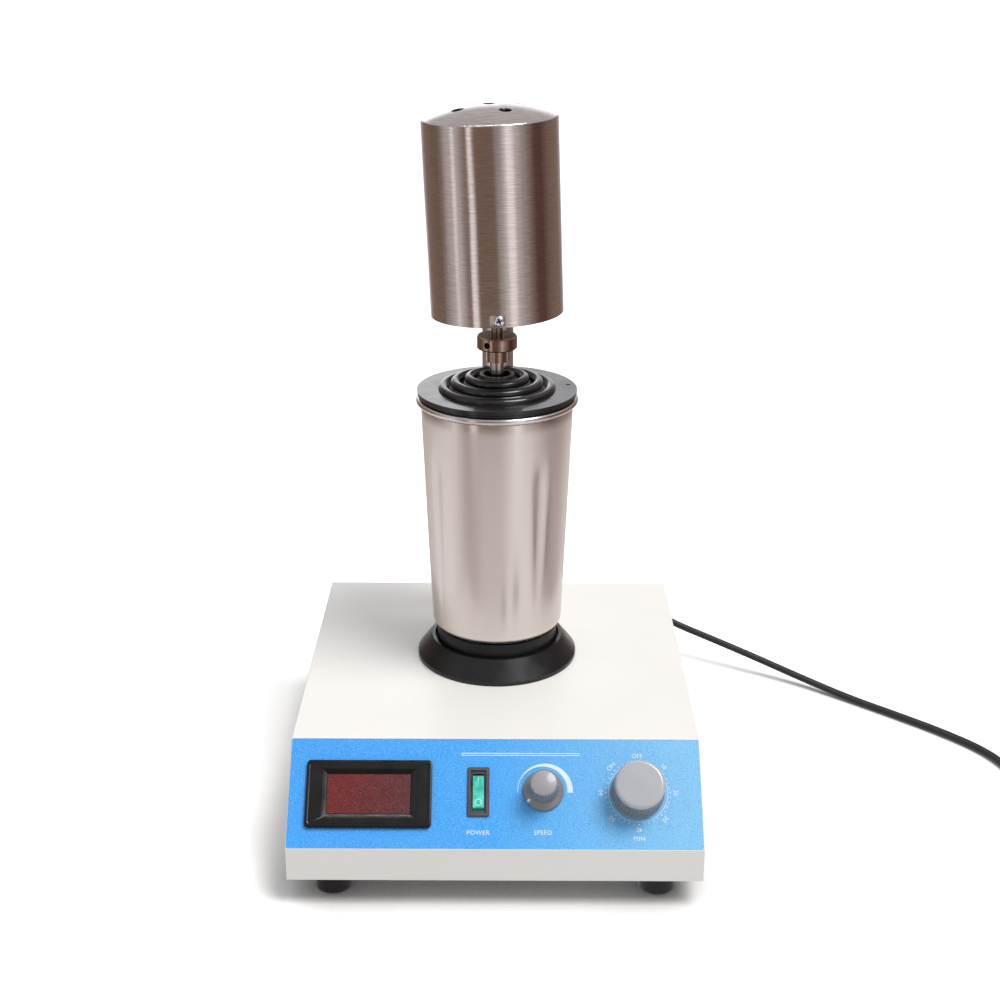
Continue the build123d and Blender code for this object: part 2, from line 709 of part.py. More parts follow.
# Cup: drawn sheet with a rolled rim and four flutes pressed into its wall
bead_z = rim_z - CUP_BEAD_R
cup_taper = (CUP_RIM_R - CUP_BASE_R) / (bead_z - cup_z)
flute_top_z = rim_z - FLUTE_TOP_DROP
flute_bottom_z = cup_z + FLUTE_BOTTOM_RISE


def cup_wall_r(z):
    """Outer radius of the cup at a level."""
    return CUP_BASE_R + cup_taper * (z - cup_z)


def flutes(grow):
    """Cut the four flutes, tapering from a round top to a point low on the wall."""
    top_out = cup_wall_r(flute_top_z) + FLUTE_TOP_R - FLUTE_DEPTH
    bottom_out = cup_wall_r(flute_bottom_z) + FLUTE_BOTTOM_R
    for azimuth in FLUTE_AZIMUTHS:
        out_x = sin(radians(azimuth))
        out_y = -cos(radians(azimuth))
        top = Vector(top_out * out_x, CUP_Y + top_out * out_y, flute_top_z)
        bottom = Vector(bottom_out * out_x, CUP_Y + bottom_out * out_y, flute_bottom_z)
        length = (top - bottom).length
        way = (top - bottom).normalized()
        side = Vector(-out_y, out_x, 0)
        top_r = FLUTE_TOP_R + grow
        bottom_r = FLUTE_BOTTOM_R + grow
        with BuildSketch(Plane(origin=bottom, x_dir=way.cross(side), z_dir=side)) as outline:
            with BuildLine():
                Polyline((0, length + top_r), (0, 0), (bottom_r, 0), (top_r, length))
                ThreePointArc(
                    (top_r, length), (top_r * sin(radians(45)), length + top_r * sin(radians(45))),
                    (0, length + top_r),
                )
            make_face()
        revolve(outline.sketch, axis=Axis(bottom, way), mode=Mode.SUBTRACT)


with BuildPart() as cup_cavity:
    turned(
        cup_section, cup_axis,
        (0, cup_z + CUP_WALL), (CUP_BASE_R - CUP_WALL, cup_z + CUP_WALL),
        (CUP_RIM_R - CUP_WALL, bead_z), (cup_wall_r(rim_z) - CUP_WALL, rim_z), (0, rim_z),
    )
    corner = cup_cavity.edges().filter_by(GeomType.CIRCLE).sort_by(Axis.Z)[0]
    fillet(corner, CUP_CORNER_R - CUP_WALL)
    post((0, CUP_Y), CUP_DIMPLE_R + CUP_WALL, cup_z + CUP_WALL, cup_z + CUP_WALL + CUP_DIMPLE_H, Mode.SUBTRACT)
    flutes(CUP_WALL)

with BuildPart() as cup:
    turned(
        cup_section, cup_axis, (0, cup_z), (CUP_BASE_R, cup_z), (CUP_RIM_R, bead_z), (0, bead_z),
    )
    corner = cup.edges().filter_by(GeomType.CIRCLE).sort_by(Axis.Z)[0]
    fillet(corner, CUP_CORNER_R)
    post((0, CUP_Y), CUP_DIMPLE_R, cup_z, cup_z + CUP_DIMPLE_H, Mode.SUBTRACT)
    flutes(0)
    add(cup_cavity.part, mode=Mode.SUBTRACT)
    with BuildSketch(cup_section):
        with Locations((CUP_RIM_R - CUP_WALL + CUP_BEAD_R, bead_z)):
            Circle(CUP_BEAD_R)
    revolve(axis=cup_axis)

# Lid: flange with a groove, three rising rings and a plug that fits in the rim
plug_r = cup_wall_r(rim_z - LID_PLUG_DEPTH) - CUP_WALL - LID_PLUG_PLAY
flange_top = rim_z + LID_FLANGE_H
crown_z = rim_z + LID_CROWN_H
with BuildPart() as cup_lid:
    with BuildSketch(cup_section):
        with BuildLine():
            lid_side = Polyline(
                (LID_HOLE_R, crown_z), (LID_HOLE_R, rim_z + LID_EYE_H),
                (LID_CONE_TOP_R, rim_z + LID_CONE_TOP_H), (LID_CONE_R, rim_z + LID_UNDER_H),
                (plug_r - LID_PLUG_WALL, rim_z + LID_UNDER_H),
                (plug_r - LID_PLUG_WALL, rim_z - LID_PLUG_DEPTH), (plug_r, rim_z - LID_PLUG_DEPTH),
                (plug_r, lid_z), (LID_LOWER_R, lid_z), (LID_LOWER_R, rim_z + LID_STEP_H),
                (LID_GROOVE_R, rim_z + LID_STEP_H), (LID_GROOVE_R, rim_z + LID_STEP_H + LID_GROOVE_H),
                (LID_R, rim_z + LID_STEP_H + LID_GROOVE_H), (LID_R, flange_top), (LID_FLAT_R, flange_top),
            )
            point = lid_side @ 1
            for ring_r, ring_h, half, foot_h in LID_RINGS:
                outer = (ring_r + half, rim_z + foot_h)
                inner = (ring_r - half, rim_z + foot_h + LID_VALLEY)
                Line(point, outer)
                ThreePointArc(outer, (ring_r, rim_z + ring_h), inner)
                point = inner
            Polyline(
                point, (LID_HOLE_R + LID_EYE_FOOT, rim_z + LID_EYE_FOOT_H),
                (LID_HOLE_R + LID_EYE_WALL, crown_z), lid_side @ 0,
            )
        make_face()
    revolve(axis=cup_axis)


# Column, clamped through the top of the box
with BuildPart() as column:
    post((0, column_y), COLUMN_R, column_foot_z, column_top_z)
    post((0, column_y), LIFT_ROD_R + RUNNING_PLAY, column_foot_z, column_top_z, Mode.SUBTRACT)

with BuildPart() as column_foot_collar:
    post((0, column_y), FOOT_COLLAR_R, top_z, top_z + FOOT_COLLAR_H)
    collar_rim = column_foot_collar.edges().filter_by(GeomType.CIRCLE).sort_by(Axis.Z)[-1]
    chamfer(collar_rim, SHEET)
    post((0, column_y), COLUMN_R + FIT_PLAY, top_z, top_z + FOOT_COLLAR_H, Mode.SUBTRACT)

backing_z = top_under_z - BACKING_T
with BuildPart() as column_backing_plate:
    with BuildSketch(Plane.XY.offset(backing_z)):
        with Locations((0, column_y)):
            Rectangle(BACKING_WIDTH, BACKING_DEPTH)
            Circle(COLUMN_R + FIT_PLAY, mode=Mode.SUBTRACT)
            for place in seat_screw_places:
                with Locations((place[0], place[1] - column_y)):
                    Circle(M4_HEAD_R + SCREW_PLAY, mode=Mode.SUBTRACT)
    extrude(amount=BACKING_T)

with BuildPart() as column_nut:
    hexagon((0, column_y), COLUMN_NUT_FLATS, backing_z - COLUMN_NUT_H, backing_z)
    post((0, column_y), COLUMN_R + THREAD_PLAY, backing_z - COLUMN_NUT_H, backing_z, Mode.SUBTRACT)

clamp_screw_plane = Plane(origin=(0, column_y, clamp_screw_z), x_dir=(1, 0, 0), z_dir=(0, 1, 0))
with BuildPart() as clamp_collar:
    post((0, column_y), CLAMP_R, clamp_z, clamp_top_z)
    rims = clamp_collar.edges().filter_by(GeomType.CIRCLE)
    chamfer(rims, SHEET)
    post((0, column_y), COLUMN_R + FIT_PLAY, clamp_z, column_top_z, Mode.SUBTRACT)
    post((0, column_y), LIFT_ROD_R + RUNNING_PLAY, column_top_z, clamp_top_z, Mode.SUBTRACT)
    with BuildSketch(clamp_screw_plane):
        Circle(CLAMP_SCREW_R + RUNNING_PLAY)
    extrude(amount=CLAMP_R, mode=Mode.SUBTRACT)

knob_y = CLAMP_R + KNOB_GAP
with BuildPart() as clamp_knob:
    with BuildSketch(clamp_screw_plane.offset(knob_y)):
        Circle(KNOB_R)
        with PolarLocations(KNOB_R + 2.0, KNOB_LOBES):
            Circle(KNOB_R / 3, mode=Mode.SUBTRACT)
    extrude(amount=KNOB_LENGTH)
    with BuildSketch(clamp_screw_plane.offset(LIFT_ROD_R + REST_GAP)):
        Circle(CLAMP_SCREW_R)
    extrude(amount=knob_y - LIFT_ROD_R - REST_GAP + KNOB_LENGTH / 2)


# Head: lift rod and the bracket that carries the motor
with BuildPart() as lift_rod:
    post((0, column_y), LIFT_ROD_R, rod_foot_z, rod_top_z)
    post((0, column_y), LIFT_ROD_BORE_R, rod_foot_z, rod_top_z, Mode.SUBTRACT)

bracket_r = COVER_R - COVER_WALL - BRACKET_PLAY
tie_bolt_places = [(0, CUP_Y - TIE_BOLT_R), (0, CUP_Y + TIE_BOLT_R)]
bracket_mid_z = bracket_z + BRACKET_T / 2 - 0.4
bracket_screw_z = boss_top_z - BOSS_HEIGHT / 3


def radial(azimuth, z, out):
    """Plane square to a radius of the cup axis; azimuth is counted from the front to the right."""
    way = (sin(radians(azimuth)), -cos(radians(azimuth)), 0)
    return Plane(origin=(out * way[0], CUP_Y + out * way[1], z), z_dir=way)


with BuildPart() as motor_bracket:
    post((0, CUP_Y), bracket_r, bracket_z, bracket_top_z)
    with BuildSketch(Plane.XY.offset(bracket_z)):
        with Locations((0, (CUP_Y + ARM_START + column_y) / 2)):
            Rectangle(ARM_WIDTH, column_y - CUP_Y - ARM_START)
    extrude(amount=ARM_HEIGHT)
    post((0, column_y), BOSS_R, bracket_z, boss_top_z)
    post((0, column_y), LIFT_ROD_R + FIT_PLAY, bracket_z, rod_top_z, Mode.SUBTRACT)
    post((0, CUP_Y), BEARING_R - 2 * BEARING_LIP, bracket_z, bracket_top_z, Mode.SUBTRACT)
    post((0, CUP_Y), BEARING_R + FIT_PLAY, bracket_top_z - BEARING_H, bracket_top_z, Mode.SUBTRACT)
    for place in tie_bolt_places:
        post(place, M4_R + THREAD_PLAY, bracket_z + 1.0, bracket_top_z, Mode.SUBTRACT)
    for azimuth in COVER_SCREW_AZIMUTHS:
        with BuildSketch(radial(azimuth, bracket_mid_z, bracket_r)):
            Circle(M4_R + THREAD_PLAY)
        extrude(amount=-8.0, mode=Mode.SUBTRACT)
    with BuildSketch(Plane(origin=(0, column_y, bracket_screw_z), z_dir=(0, 1, 0))):
        Circle(CLAMP_SCREW_R + THREAD_PLAY)
    extrude(amount=BOSS_R, mode=Mode.SUBTRACT)

with BuildPart() as bracket_screw:
    with BuildSketch(Plane(origin=(0, column_y + LIFT_ROD_R + FIT_PLAY, bracket_screw_z), z_dir=(0, 1, 0))):
        Circle(CLAMP_SCREW_R)
    extrude(amount=BOSS_R - LIFT_ROD_R - 2 * FIT_PLAY)
    with BuildSketch(Plane(origin=(0, column_y + BOSS_R - FIT_PLAY, bracket_screw_z), z_dir=(0, 1, 0))):
        RegularPolygon(CLAMP_SCREW_R / 2, 6)
    extrude(amount=-CLAMP_SCREW_R, mode=Mode.SUBTRACT)

# Motor cover: drawn steel cap that leans a little to the left on its slotted screws
lean = radians(COVER_LEAN)
lean_x = (cos(lean), 0, sin(lean))
lean_z = (-sin(lean), 0, cos(lean))
cover_frame = Plane(origin=(0, CUP_Y, cover_z), x_dir=lean_x, z_dir=lean_z)
cover_section = Plane(origin=(0, CUP_Y, cover_z), x_dir=lean_x, z_dir=(0, -1, 0))
cover_axis = Axis((0, CUP_Y, cover_z), lean_z)
arm_slot_h = BRACKET_LIFT + ARM_HEIGHT + ARM_SLOT_PLAY


def capped(radius, height, dome, edge_r):
    """Closed cap outline turned about the leaning axis."""
    dome_r = (radius ** 2 + dome ** 2) / (2 * dome)
    half_way = height + dome - dome_r + sqrt(dome_r ** 2 - (radius / 2) ** 2)
    with BuildSketch(cover_section) as outline:
        with BuildLine():
            Polyline((0, height + dome), (0, 0), (radius, 0), (radius, height))
            ThreePointArc((radius, height), (radius / 2, half_way), (0, height + dome))
        make_face()
        rim = outline.vertices().sort_by_distance(Vector(radius, height))[0]
        fillet(rim, edge_r)
    revolve(outline.sketch, axis=cover_axis)


with BuildPart() as cover_hollow:
    capped(COVER_R - COVER_WALL, COVER_HEIGHT - COVER_WALL, COVER_DOME, COVER_EDGE_R / 2)

with BuildPart() as motor_cover:
    capped(COVER_R, COVER_HEIGHT, COVER_DOME, COVER_EDGE_R)
    add(cover_hollow.part, mode=Mode.SUBTRACT)
    with BuildSketch(cover_frame.offset(COVER_HEIGHT - 2 * COVER_WALL)):
        Circle(VENT_R)
        with PolarLocations(VENT_RING_R, 4, start_angle=VENT_START):
            Circle(VENT_R)
    extrude(amount=2 * COVER_DOME, mode=Mode.SUBTRACT)
    for azimuth in COVER_SCREW_AZIMUTHS:
        slot_rise = bracket_mid_z - cover_z - COVER_R * sin(radians(azimuth)) * sin(lean)
        turn = Rot(0, 0, azimuth + SLOT_SHIFT)
        with Locations(cover_frame.location * turn * Pos(0, -COVER_R, slot_rise)):
            Box(SLOT_WIDTH, 4 * COVER_WALL, SLOT_HEIGHT, mode=Mode.SUBTRACT)
    with Locations(cover_frame.location * Pos(0, COVER_R, arm_slot_h / 2)):
        Box(ARM_WIDTH + 2 * ARM_SLOT_PLAY, COVER_R / 2, arm_slot_h, mode=Mode.SUBTRACT)

with BuildPart() as cover_screws:
    for azimuth in COVER_SCREW_AZIMUTHS:
        with BuildSketch(radial(azimuth, bracket_mid_z, bracket_r - 7.5)):
            Circle(M4_R)
        extrude(amount=COVER_R + LEAN_GAP - bracket_r + 7.5)
        with BuildSketch(radial(azimuth, bracket_mid_z, COVER_R + LEAN_GAP)):
            Circle(M4_HEAD_R)
        extrude(amount=M4_HEAD_H)


# Motor: bearings, stator with its field windings, top bracket and brushes

def ring_bearing(z_low):
    """Ball bearing as one ring, with the groove between its races."""
    post((0, CUP_Y), BEARING_R, z_low, z_low + BEARING_H)
    post((0, CUP_Y), MOTOR_SHAFT_R + RUNNING_PLAY, z_low, z_low + BEARING_H, Mode.SUBTRACT)


with BuildPart() as motor_bearings:
    ring_bearing(bracket_top_z - BEARING_H)
    ring_bearing(top_bracket_z)

bore_r = ARMATURE_R + AIR_GAP
window_half = 90 - POLE_ANGLE / 2


def ring_sector(z, r_in, r_out, middle, half, height, mode=Mode.ADD):
    """Block bounded by two radii and two sides about the cup axis."""
    reach = 2 * r_out
    sides = [Vector(reach, 0).rotate(Axis.Z, middle + turn) for turn in (-half, 0, half)]
    with BuildSketch(Plane(origin=(0, CUP_Y, z))) as outline:
        Circle(r_out)
        Circle(r_in, mode=Mode.SUBTRACT)
        with BuildLine():
            Polyline((0, 0), *sides, close=True)
        make_face(mode=Mode.INTERSECT)
    extrude(outline.sketch, amount=height, mode=mode)


with BuildPart() as motor_stator:
    post((0, CUP_Y), STATOR_R, stator_z, stator_top_z)
    post((0, CUP_Y), bore_r, stator_z, stator_top_z, Mode.SUBTRACT)
    for side in (0, 180):
        ring_sector(stator_z, bore_r - 1, WINDOW_R, side, window_half, STATOR_H, Mode.SUBTRACT)
    for place in tie_bolt_places:
        post(place, M4_R + SCREW_PLAY, stator_z, stator_top_z, Mode.SUBTRACT)

with BuildPart() as field_windings:
    for side in (90, 270):
        loop_z = stator_z - WINDING_END
        loop_h = STATOR_H + 2 * WINDING_END
        ring_sector(loop_z, WINDING_IN_R, WINDING_OUT_R, side, 72, loop_h)
        ring_sector(
            stator_z - REST_GAP, MOTOR_SHAFT_R, STATOR_R, side, POLE_ANGLE / 2 + 2,
            STATOR_H + 2 * REST_GAP, Mode.SUBTRACT,
        )

with BuildPart() as stator_spacers:
    for place in tie_bolt_places:
        for low in (bracket_top_z, stator_top_z):
            post(place, SPACER_R, low, low + STATOR_RISE)
            post(place, M4_R + THREAD_PLAY, low, low + STATOR_RISE, Mode.SUBTRACT)

top_bracket_top_z = top_bracket_z + TOP_BRACKET_T
with BuildPart() as tie_bolts:
    for place in tie_bolt_places:
        post(place, M4_R, bracket_z + 1.5, top_bracket_top_z)
        post(place, M4_HEAD_R, top_bracket_top_z, top_bracket_top_z + M4_HEAD_H)

with BuildPart() as top_bracket:
    with BuildSketch(Plane.XY.offset(top_bracket_z)):
        with Locations((0, CUP_Y)):
            Circle(TOP_BRACKET_R)
            Rectangle(2 * TOP_BRACKET_R, 2 * TOP_BRACKET_R - 20, mode=Mode.INTERSECT)
            Rectangle(3 * BEARING_R, 2 * TOP_BRACKET_R)
            Circle(TOP_BRACKET_R, mode=Mode.INTERSECT)
    extrude(amount=TOP_BRACKET_T)
    post((0, CUP_Y), BEARING_R + FIT_PLAY, top_bracket_z, top_bearing_z + FIT_PLAY, Mode.SUBTRACT)
    for place in tie_bolt_places:
        post(place, M4_R + SCREW_PLAY, top_bracket_z, top_bracket_top_z, Mode.SUBTRACT)

holder_height = BRUSH_HEIGHT + 2 * HOLDER_WALL
brush_z = top_bracket_z - holder_height / 2
with BuildPart() as brush_holders:
    for side in (-1, 1):
        reach = COMMUTATOR_R + HOLDER_GAP + HOLDER_LENGTH / 2
        with Locations((side * reach, CUP_Y, brush_z)):
            Box(HOLDER_LENGTH, BRUSH_WIDTH + 2 * HOLDER_WALL, holder_height)
            Box(HOLDER_LENGTH, BRUSH_WIDTH + 2 * FIT_PLAY, BRUSH_HEIGHT + 2 * FIT_PLAY, mode=Mode.SUBTRACT)

with BuildPart() as carbon_brushes:
    for side in (-1, 1):
        with Locations((side * (COMMUTATOR_R + 0.1 + BRUSH_LENGTH / 2), CUP_Y, brush_z)):
            Box(BRUSH_LENGTH, BRUSH_WIDTH, BRUSH_HEIGHT)
    post((0, CUP_Y), COMMUTATOR_R + 0.1, top_bracket_z - 20, top_bracket_z, Mode.SUBTRACT)


# Spindle: everything that the motor turns
with BuildPart() as motor_shaft:
    post((0, CUP_Y), MOTOR_SHAFT_R, motor_shaft_z, top_bearing_z - FIT_PLAY)

with BuildPart() as armature_core:
    post((0, CUP_Y), ARMATURE_R, stator_z, stator_top_z)
    with BuildSketch(Plane.XY.offset(stator_z)):
        with Locations((0, CUP_Y)):
            Circle(MOTOR_SHAFT_R + FIT_PLAY)
            with PolarLocations(ARMATURE_R - SLOT_DEPTH / 2, ARMATURE_SLOTS):
                Rectangle(SLOT_DEPTH + 1, SLOT_MOUTH)
    extrude(amount=STATOR_H, mode=Mode.SUBTRACT)

with BuildPart() as armature_windings:
    for low in (stator_z - END_TURN_H - FIT_PLAY, stator_top_z + FIT_PLAY):
        post((0, CUP_Y), END_TURN_R, low, low + END_TURN_H)
    turns_rims = armature_windings.edges().filter_by(GeomType.CIRCLE)
    fillet(turns_rims, 2.5)
    post((0, CUP_Y), MOTOR_SHAFT_R + FIT_PLAY, stator_z - 20, stator_top_z + 20, Mode.SUBTRACT)

commutator_z = top_bracket_z - COMMUTATOR_H - REST_GAP
with BuildPart() as commutator:
    post((0, CUP_Y), COMMUTATOR_R, commutator_z, commutator_z + COMMUTATOR_H)
    with BuildSketch(Plane.XY.offset(commutator_z)):
        with Locations((0, CUP_Y)):
            Circle(MOTOR_SHAFT_R + FIT_PLAY)
            with PolarLocations(COMMUTATOR_R, COMMUTATOR_BARS):
                Rectangle(2.0, BAR_GAP)
    extrude(amount=COMMUTATOR_H, mode=Mode.SUBTRACT)

fan_z = bracket_top_z + FAN_RISE
with BuildPart() as cooling_fan:
    post((0, CUP_Y), FAN_R, fan_z, fan_z + FAN_SHEET)
    post((0, CUP_Y), 2 * MOTOR_SHAFT_R, fan_z, fan_z + FAN_H)
    with BuildSketch(Plane.XY.offset(fan_z)):
        with Locations((0, CUP_Y)):
            with PolarLocations(FAN_R / 2 + MOTOR_SHAFT_R / 2, FAN_BLADES):
                Rectangle(FAN_R - MOTOR_SHAFT_R - 1, FAN_SHEET, rotation=20)
            Circle(FAN_R, mode=Mode.INTERSECT)
    extrude(amount=FAN_H)
    post((0, CUP_Y), MOTOR_SHAFT_R + FIT_PLAY, fan_z, fan_z + FAN_H, Mode.SUBTRACT)

grub_z = (collar_z + coupling_top_z) / 2
with BuildPart() as shaft_coupling:
    post((0, CUP_Y), COUPLING_COLLAR_R, collar_z, coupling_top_z)
    chamfer(shaft_coupling.edges().filter_by(GeomType.CIRCLE), 0.8)
    post((0, CUP_Y), COUPLING_HUB_R, hub_z, collar_z)
    post((0, CUP_Y), BLADE_SHAFT_R + FIT_PLAY, hub_z, hub_z + HUB_SOCKET + FIT_PLAY, Mode.SUBTRACT)
    post((0, CUP_Y), MOTOR_SHAFT_R + FIT_PLAY, motor_shaft_z - FIT_PLAY, coupling_top_z, Mode.SUBTRACT)
    for azimuth in GRUB_AZIMUTHS:
        with BuildSketch(radial(azimuth, grub_z, MOTOR_SHAFT_R)):
            Circle(GRUB_R)
        extrude(amount=COUPLING_COLLAR_R, mode=Mode.SUBTRACT)

with BuildPart() as coupling_grub_screws:
    for azimuth in GRUB_AZIMUTHS:
        with BuildSketch(radial(azimuth, grub_z, MOTOR_SHAFT_R + FIT_PLAY)):
            Circle(GRUB_R - THREAD_PLAY)
        extrude(amount=GRUB_LENGTH)
        with BuildSketch(radial(azimuth, grub_z, MOTOR_SHAFT_R + FIT_PLAY + GRUB_LENGTH)):
            RegularPolygon(GRUB_R / 2, 6)
        extrude(amount=-GRUB_RECESS, mode=Mode.SUBTRACT)

# Knife: shaft with a stud, two crossed blades and a cap nut
with BuildPart() as blade_shaft:
    post((0, CUP_Y), BLADE_SHAFT_R, shoulder_z, hub_z + HUB_SOCKET)
    post((0, CUP_Y), STUD_R, shoulder_z - STUD_LENGTH, shoulder_z)


def blade(z_top, turn, bend):
    """Bar with tapered tips bent up or down, clamped under the shaft's shoulder."""
    run = BLADE_REACH - BLADE_FLAT
    drop = run * tan(radians(bend))
    along = Vector(1, 0, 0).rotate(Axis.Z, turn)
    across = Vector(0, -1, 0).rotate(Axis.Z, turn)
    side = Plane(origin=(0, CUP_Y, z_top), x_dir=along, z_dir=across)
    with BuildSketch(side.offset(-BLADE_WIDTH / 2)) as side_outline:
        with BuildLine():
            Polyline(
                (-BLADE_REACH, drop), (-BLADE_FLAT, 0), (BLADE_FLAT, 0), (BLADE_REACH, drop),
                (BLADE_REACH, drop - BLADE_T), (BLADE_FLAT, -BLADE_T), (-BLADE_FLAT, -BLADE_T),
                (-BLADE_REACH, drop - BLADE_T), close=True,
            )
        make_face()
    extrude(side_outline.sketch, amount=BLADE_WIDTH)
    plan = Plane(origin=(0, CUP_Y, z_top - BLADE_REACH), x_dir=along)
    with BuildSketch(plan) as plan_outline:
        with BuildLine():
            Polyline(
                (-BLADE_REACH, 0), (-BLADE_FLAT, -BLADE_WIDTH / 2), (BLADE_FLAT, -BLADE_WIDTH / 2),
                (BLADE_REACH, 0), (BLADE_FLAT, BLADE_WIDTH / 2), (-BLADE_FLAT, BLADE_WIDTH / 2),
                close=True,
            )
        make_face()
        Circle(STUD_R + FIT_PLAY, mode=Mode.SUBTRACT)
    extrude(plan_outline.sketch, amount=2 * BLADE_REACH, mode=Mode.INTERSECT)


with BuildPart() as upper_blade:
    blade(shoulder_z, 0, BLADE_BEND)

with BuildPart() as lower_blade:
    blade(shoulder_z - BLADE_T, 90, -BLADE_BEND)

nut_top_z = shoulder_z - 2 * BLADE_T
with BuildPart() as blade_nut:
    hexagon((0, CUP_Y), BLADE_NUT_FLATS, nut_top_z - BLADE_NUT_H, nut_top_z)
    post((0, CUP_Y), STUD_R + FIT_PLAY, shoulder_z - STUD_LENGTH - FIT_PLAY, nut_top_z, Mode.SUBTRACT)


# Mains cord: moulded strain relief, free run over the table, coil and plug
gland_section = Plane(origin=(GLAND_X, rear_y, GLAND_Z), x_dir=(1, 0, 0), z_dir=(0, 0, 1))
gland_axis = Axis((GLAND_X, rear_y, GLAND_Z), (0, 1, 0))
with BuildPart() as cord_gland:
    turned(
        gland_section, gland_axis,
        (0, -GLAND_INSIDE), (GLAND_ROOT_R, -GLAND_INSIDE), (GLAND_ROOT_R, 0), (GLAND_HEAD_R, 0),
        (GLAND_HEAD_R, GLAND_HEAD_T), (GLAND_ROOT_R, GLAND_HEAD_T), (GLAND_TIP_R, GLAND_LENGTH),
        (0, GLAND_LENGTH),
    )
    ring_step = (GLAND_LENGTH - GLAND_HEAD_T) / (GLAND_RINGS + 1)
    for ring in range(GLAND_RINGS):
        ring_y = rear_y + GLAND_HEAD_T + ring_step * (ring + 0.7)
        with BuildSketch(Plane(origin=(GLAND_X, ring_y, GLAND_Z), z_dir=(0, 1, 0))):
            Circle(GLAND_HEAD_R)
            Circle(GLAND_TIP_R - 0.3, mode=Mode.SUBTRACT)
        extrude(amount=ring_step / 3, mode=Mode.SUBTRACT)

coil_angle = 360 * COIL_TURNS
coil_step = coil_angle / COIL_SPANS
coil_outer_r = COIL_INNER_R + COIL_PITCH * hypot(coil_angle / 2, COIL_SOFTEN) / 360


def coil_point(turned_by):
    """Centre of the cord in the coil: spirals in on the table, climbs and spirals out on top."""
    past_middle = turned_by - coil_angle / 2
    radius = COIL_INNER_R + COIL_PITCH * hypot(past_middle, COIL_SOFTEN) / 360
    share = min(1.0, max(0.0, (past_middle + coil_step) / (2 * coil_step)))
    climb = share * share * (3 - 2 * share)
    angle = radians(COIL_START + turned_by)
    return Vector(
        COIL_X + radius * cos(angle), COIL_Y + radius * sin(angle), cord_z + COIL_PITCH * climb,
    )


def coil_way(turned_by):
    """Direction of the cord in the coil."""
    step = 0.5
    return (coil_point(turned_by + step) - coil_point(turned_by - step)).normalized()


def biarc(start, start_way, end, end_way):
    """Two arcs that join two points and keep both directions."""
    reach = end - start
    both = start_way + end_way
    bend = 2 * (1 - start_way.dot(end_way))
    across = reach.dot(both)
    arm = (sqrt(across * across + bend * reach.dot(reach)) - across) / bend
    first = start + start_way * arm
    last = end - end_way * arm
    middle = (first + last) * 0.5
    TangentArc(start, middle, tangent=start_way)
    TangentArc(middle, end, tangent=last - first)


coil_start = coil_point(0)
coil_start_way = Vector(coil_way(0).X, coil_way(0).Y, 0).normalized()
coil_end = coil_point(coil_angle)
coil_end_way = Vector(coil_way(coil_angle).X, coil_way(coil_angle).Y, 0).normalized()
coil_entry = coil_start - coil_start_way * 2 * CORD_R
tail_end = coil_end + coil_end_way * COIL_TAIL

# Route of the free cord, from the strain relief round the back corner and over the table
gland_tip = Vector(GLAND_X, rear_y + GLAND_LENGTH, GLAND_Z)
cord_route = [
    gland_tip,
    gland_tip + Vector(0, 17, 0),
    gland_tip + Vector(7, 32, -4),
    gland_tip + Vector(21, 40.5, -9.5),
    gland_tip + Vector(39, 39.5, -17),
    gland_tip + Vector(57, 31.5, -24),
    Vector(174, 190, 21.5),
    Vector(207, 171, 14.5),
    Vector(243, 149, 6.5),
    Vector(275, 122.5, 2.9),
    Vector(308, 94, 2.75),
    Vector(337, 67.5, 2.75),
    Vector(362, 39, 2.75),
    coil_entry - coil_start_way * 31,
    coil_entry,
]
route_turns = []
route_radii = []
for before, here, after in zip(cord_route, cord_route[1:], cord_route[2:]):
    arrive = here - before
    leave = after - here
    route_turns.append(arrive.get_angle(leave))
    shorter = min(arrive.length, leave.length)
    route_radii.append(0.45 * shorter / tan(radians(route_turns[-1]) / 2))

with BuildPart() as power_cord:
    with BuildLine() as cord_path:
        FilletPolyline(*cord_route, radius=route_radii)
    with BuildSketch(Plane(origin=gland_tip, z_dir=cord_path.line % 0)):
        Circle(CORD_R)
    sweep(path=cord_path.line)

with BuildPart() as cord_coil:
    with BuildLine() as coil_path:
        Line(coil_entry, coil_start)
        for span in range(COIL_SPANS):
            low = span * coil_step
            high = low + coil_step
            low_way = coil_start_way if span == 0 else coil_way(low)
            high_way = coil_end_way if span == COIL_SPANS - 1 else coil_way(high)
            biarc(coil_point(low), low_way, coil_point(high), high_way)
        Line(coil_end, tail_end)
    with BuildSketch(Plane(origin=coil_entry, z_dir=coil_start_way)):
        Circle(CORD_R)
    sweep(path=coil_path.wires()[0])

print("cord bend radii, mm:", [round(radius, 1) for radius in route_radii])
print("cord turns, degrees:", [round(turn, 1) for turn in route_turns])
for name, piece, path in (("cord", power_cord, cord_path), ("coil", cord_coil, coil_path)):
    length = sum(edge.length for edge in path.edges())
    expected = pi * CORD_R ** 2 * length
    print(name, "length", round(length, 1), "volume over section times length", round(piece.part.volume / expected, 4))

# Least gap of the coil to itself, on points along the formula
SAMPLES_PER_TURN = 48
sample_step = 360 / SAMPLES_PER_TURN
samples = [coil_point(index * sample_step) for index in range(ceil(coil_angle / sample_step))]
apart = SAMPLES_PER_TURN // 2
least = min(
    (samples[i] - samples[j]).length for i in range(len(samples)) for j in range(i + apart, len(samples))
)
print("coil least gap to itself, mm:", round(least - 2 * CORD_R, 3))

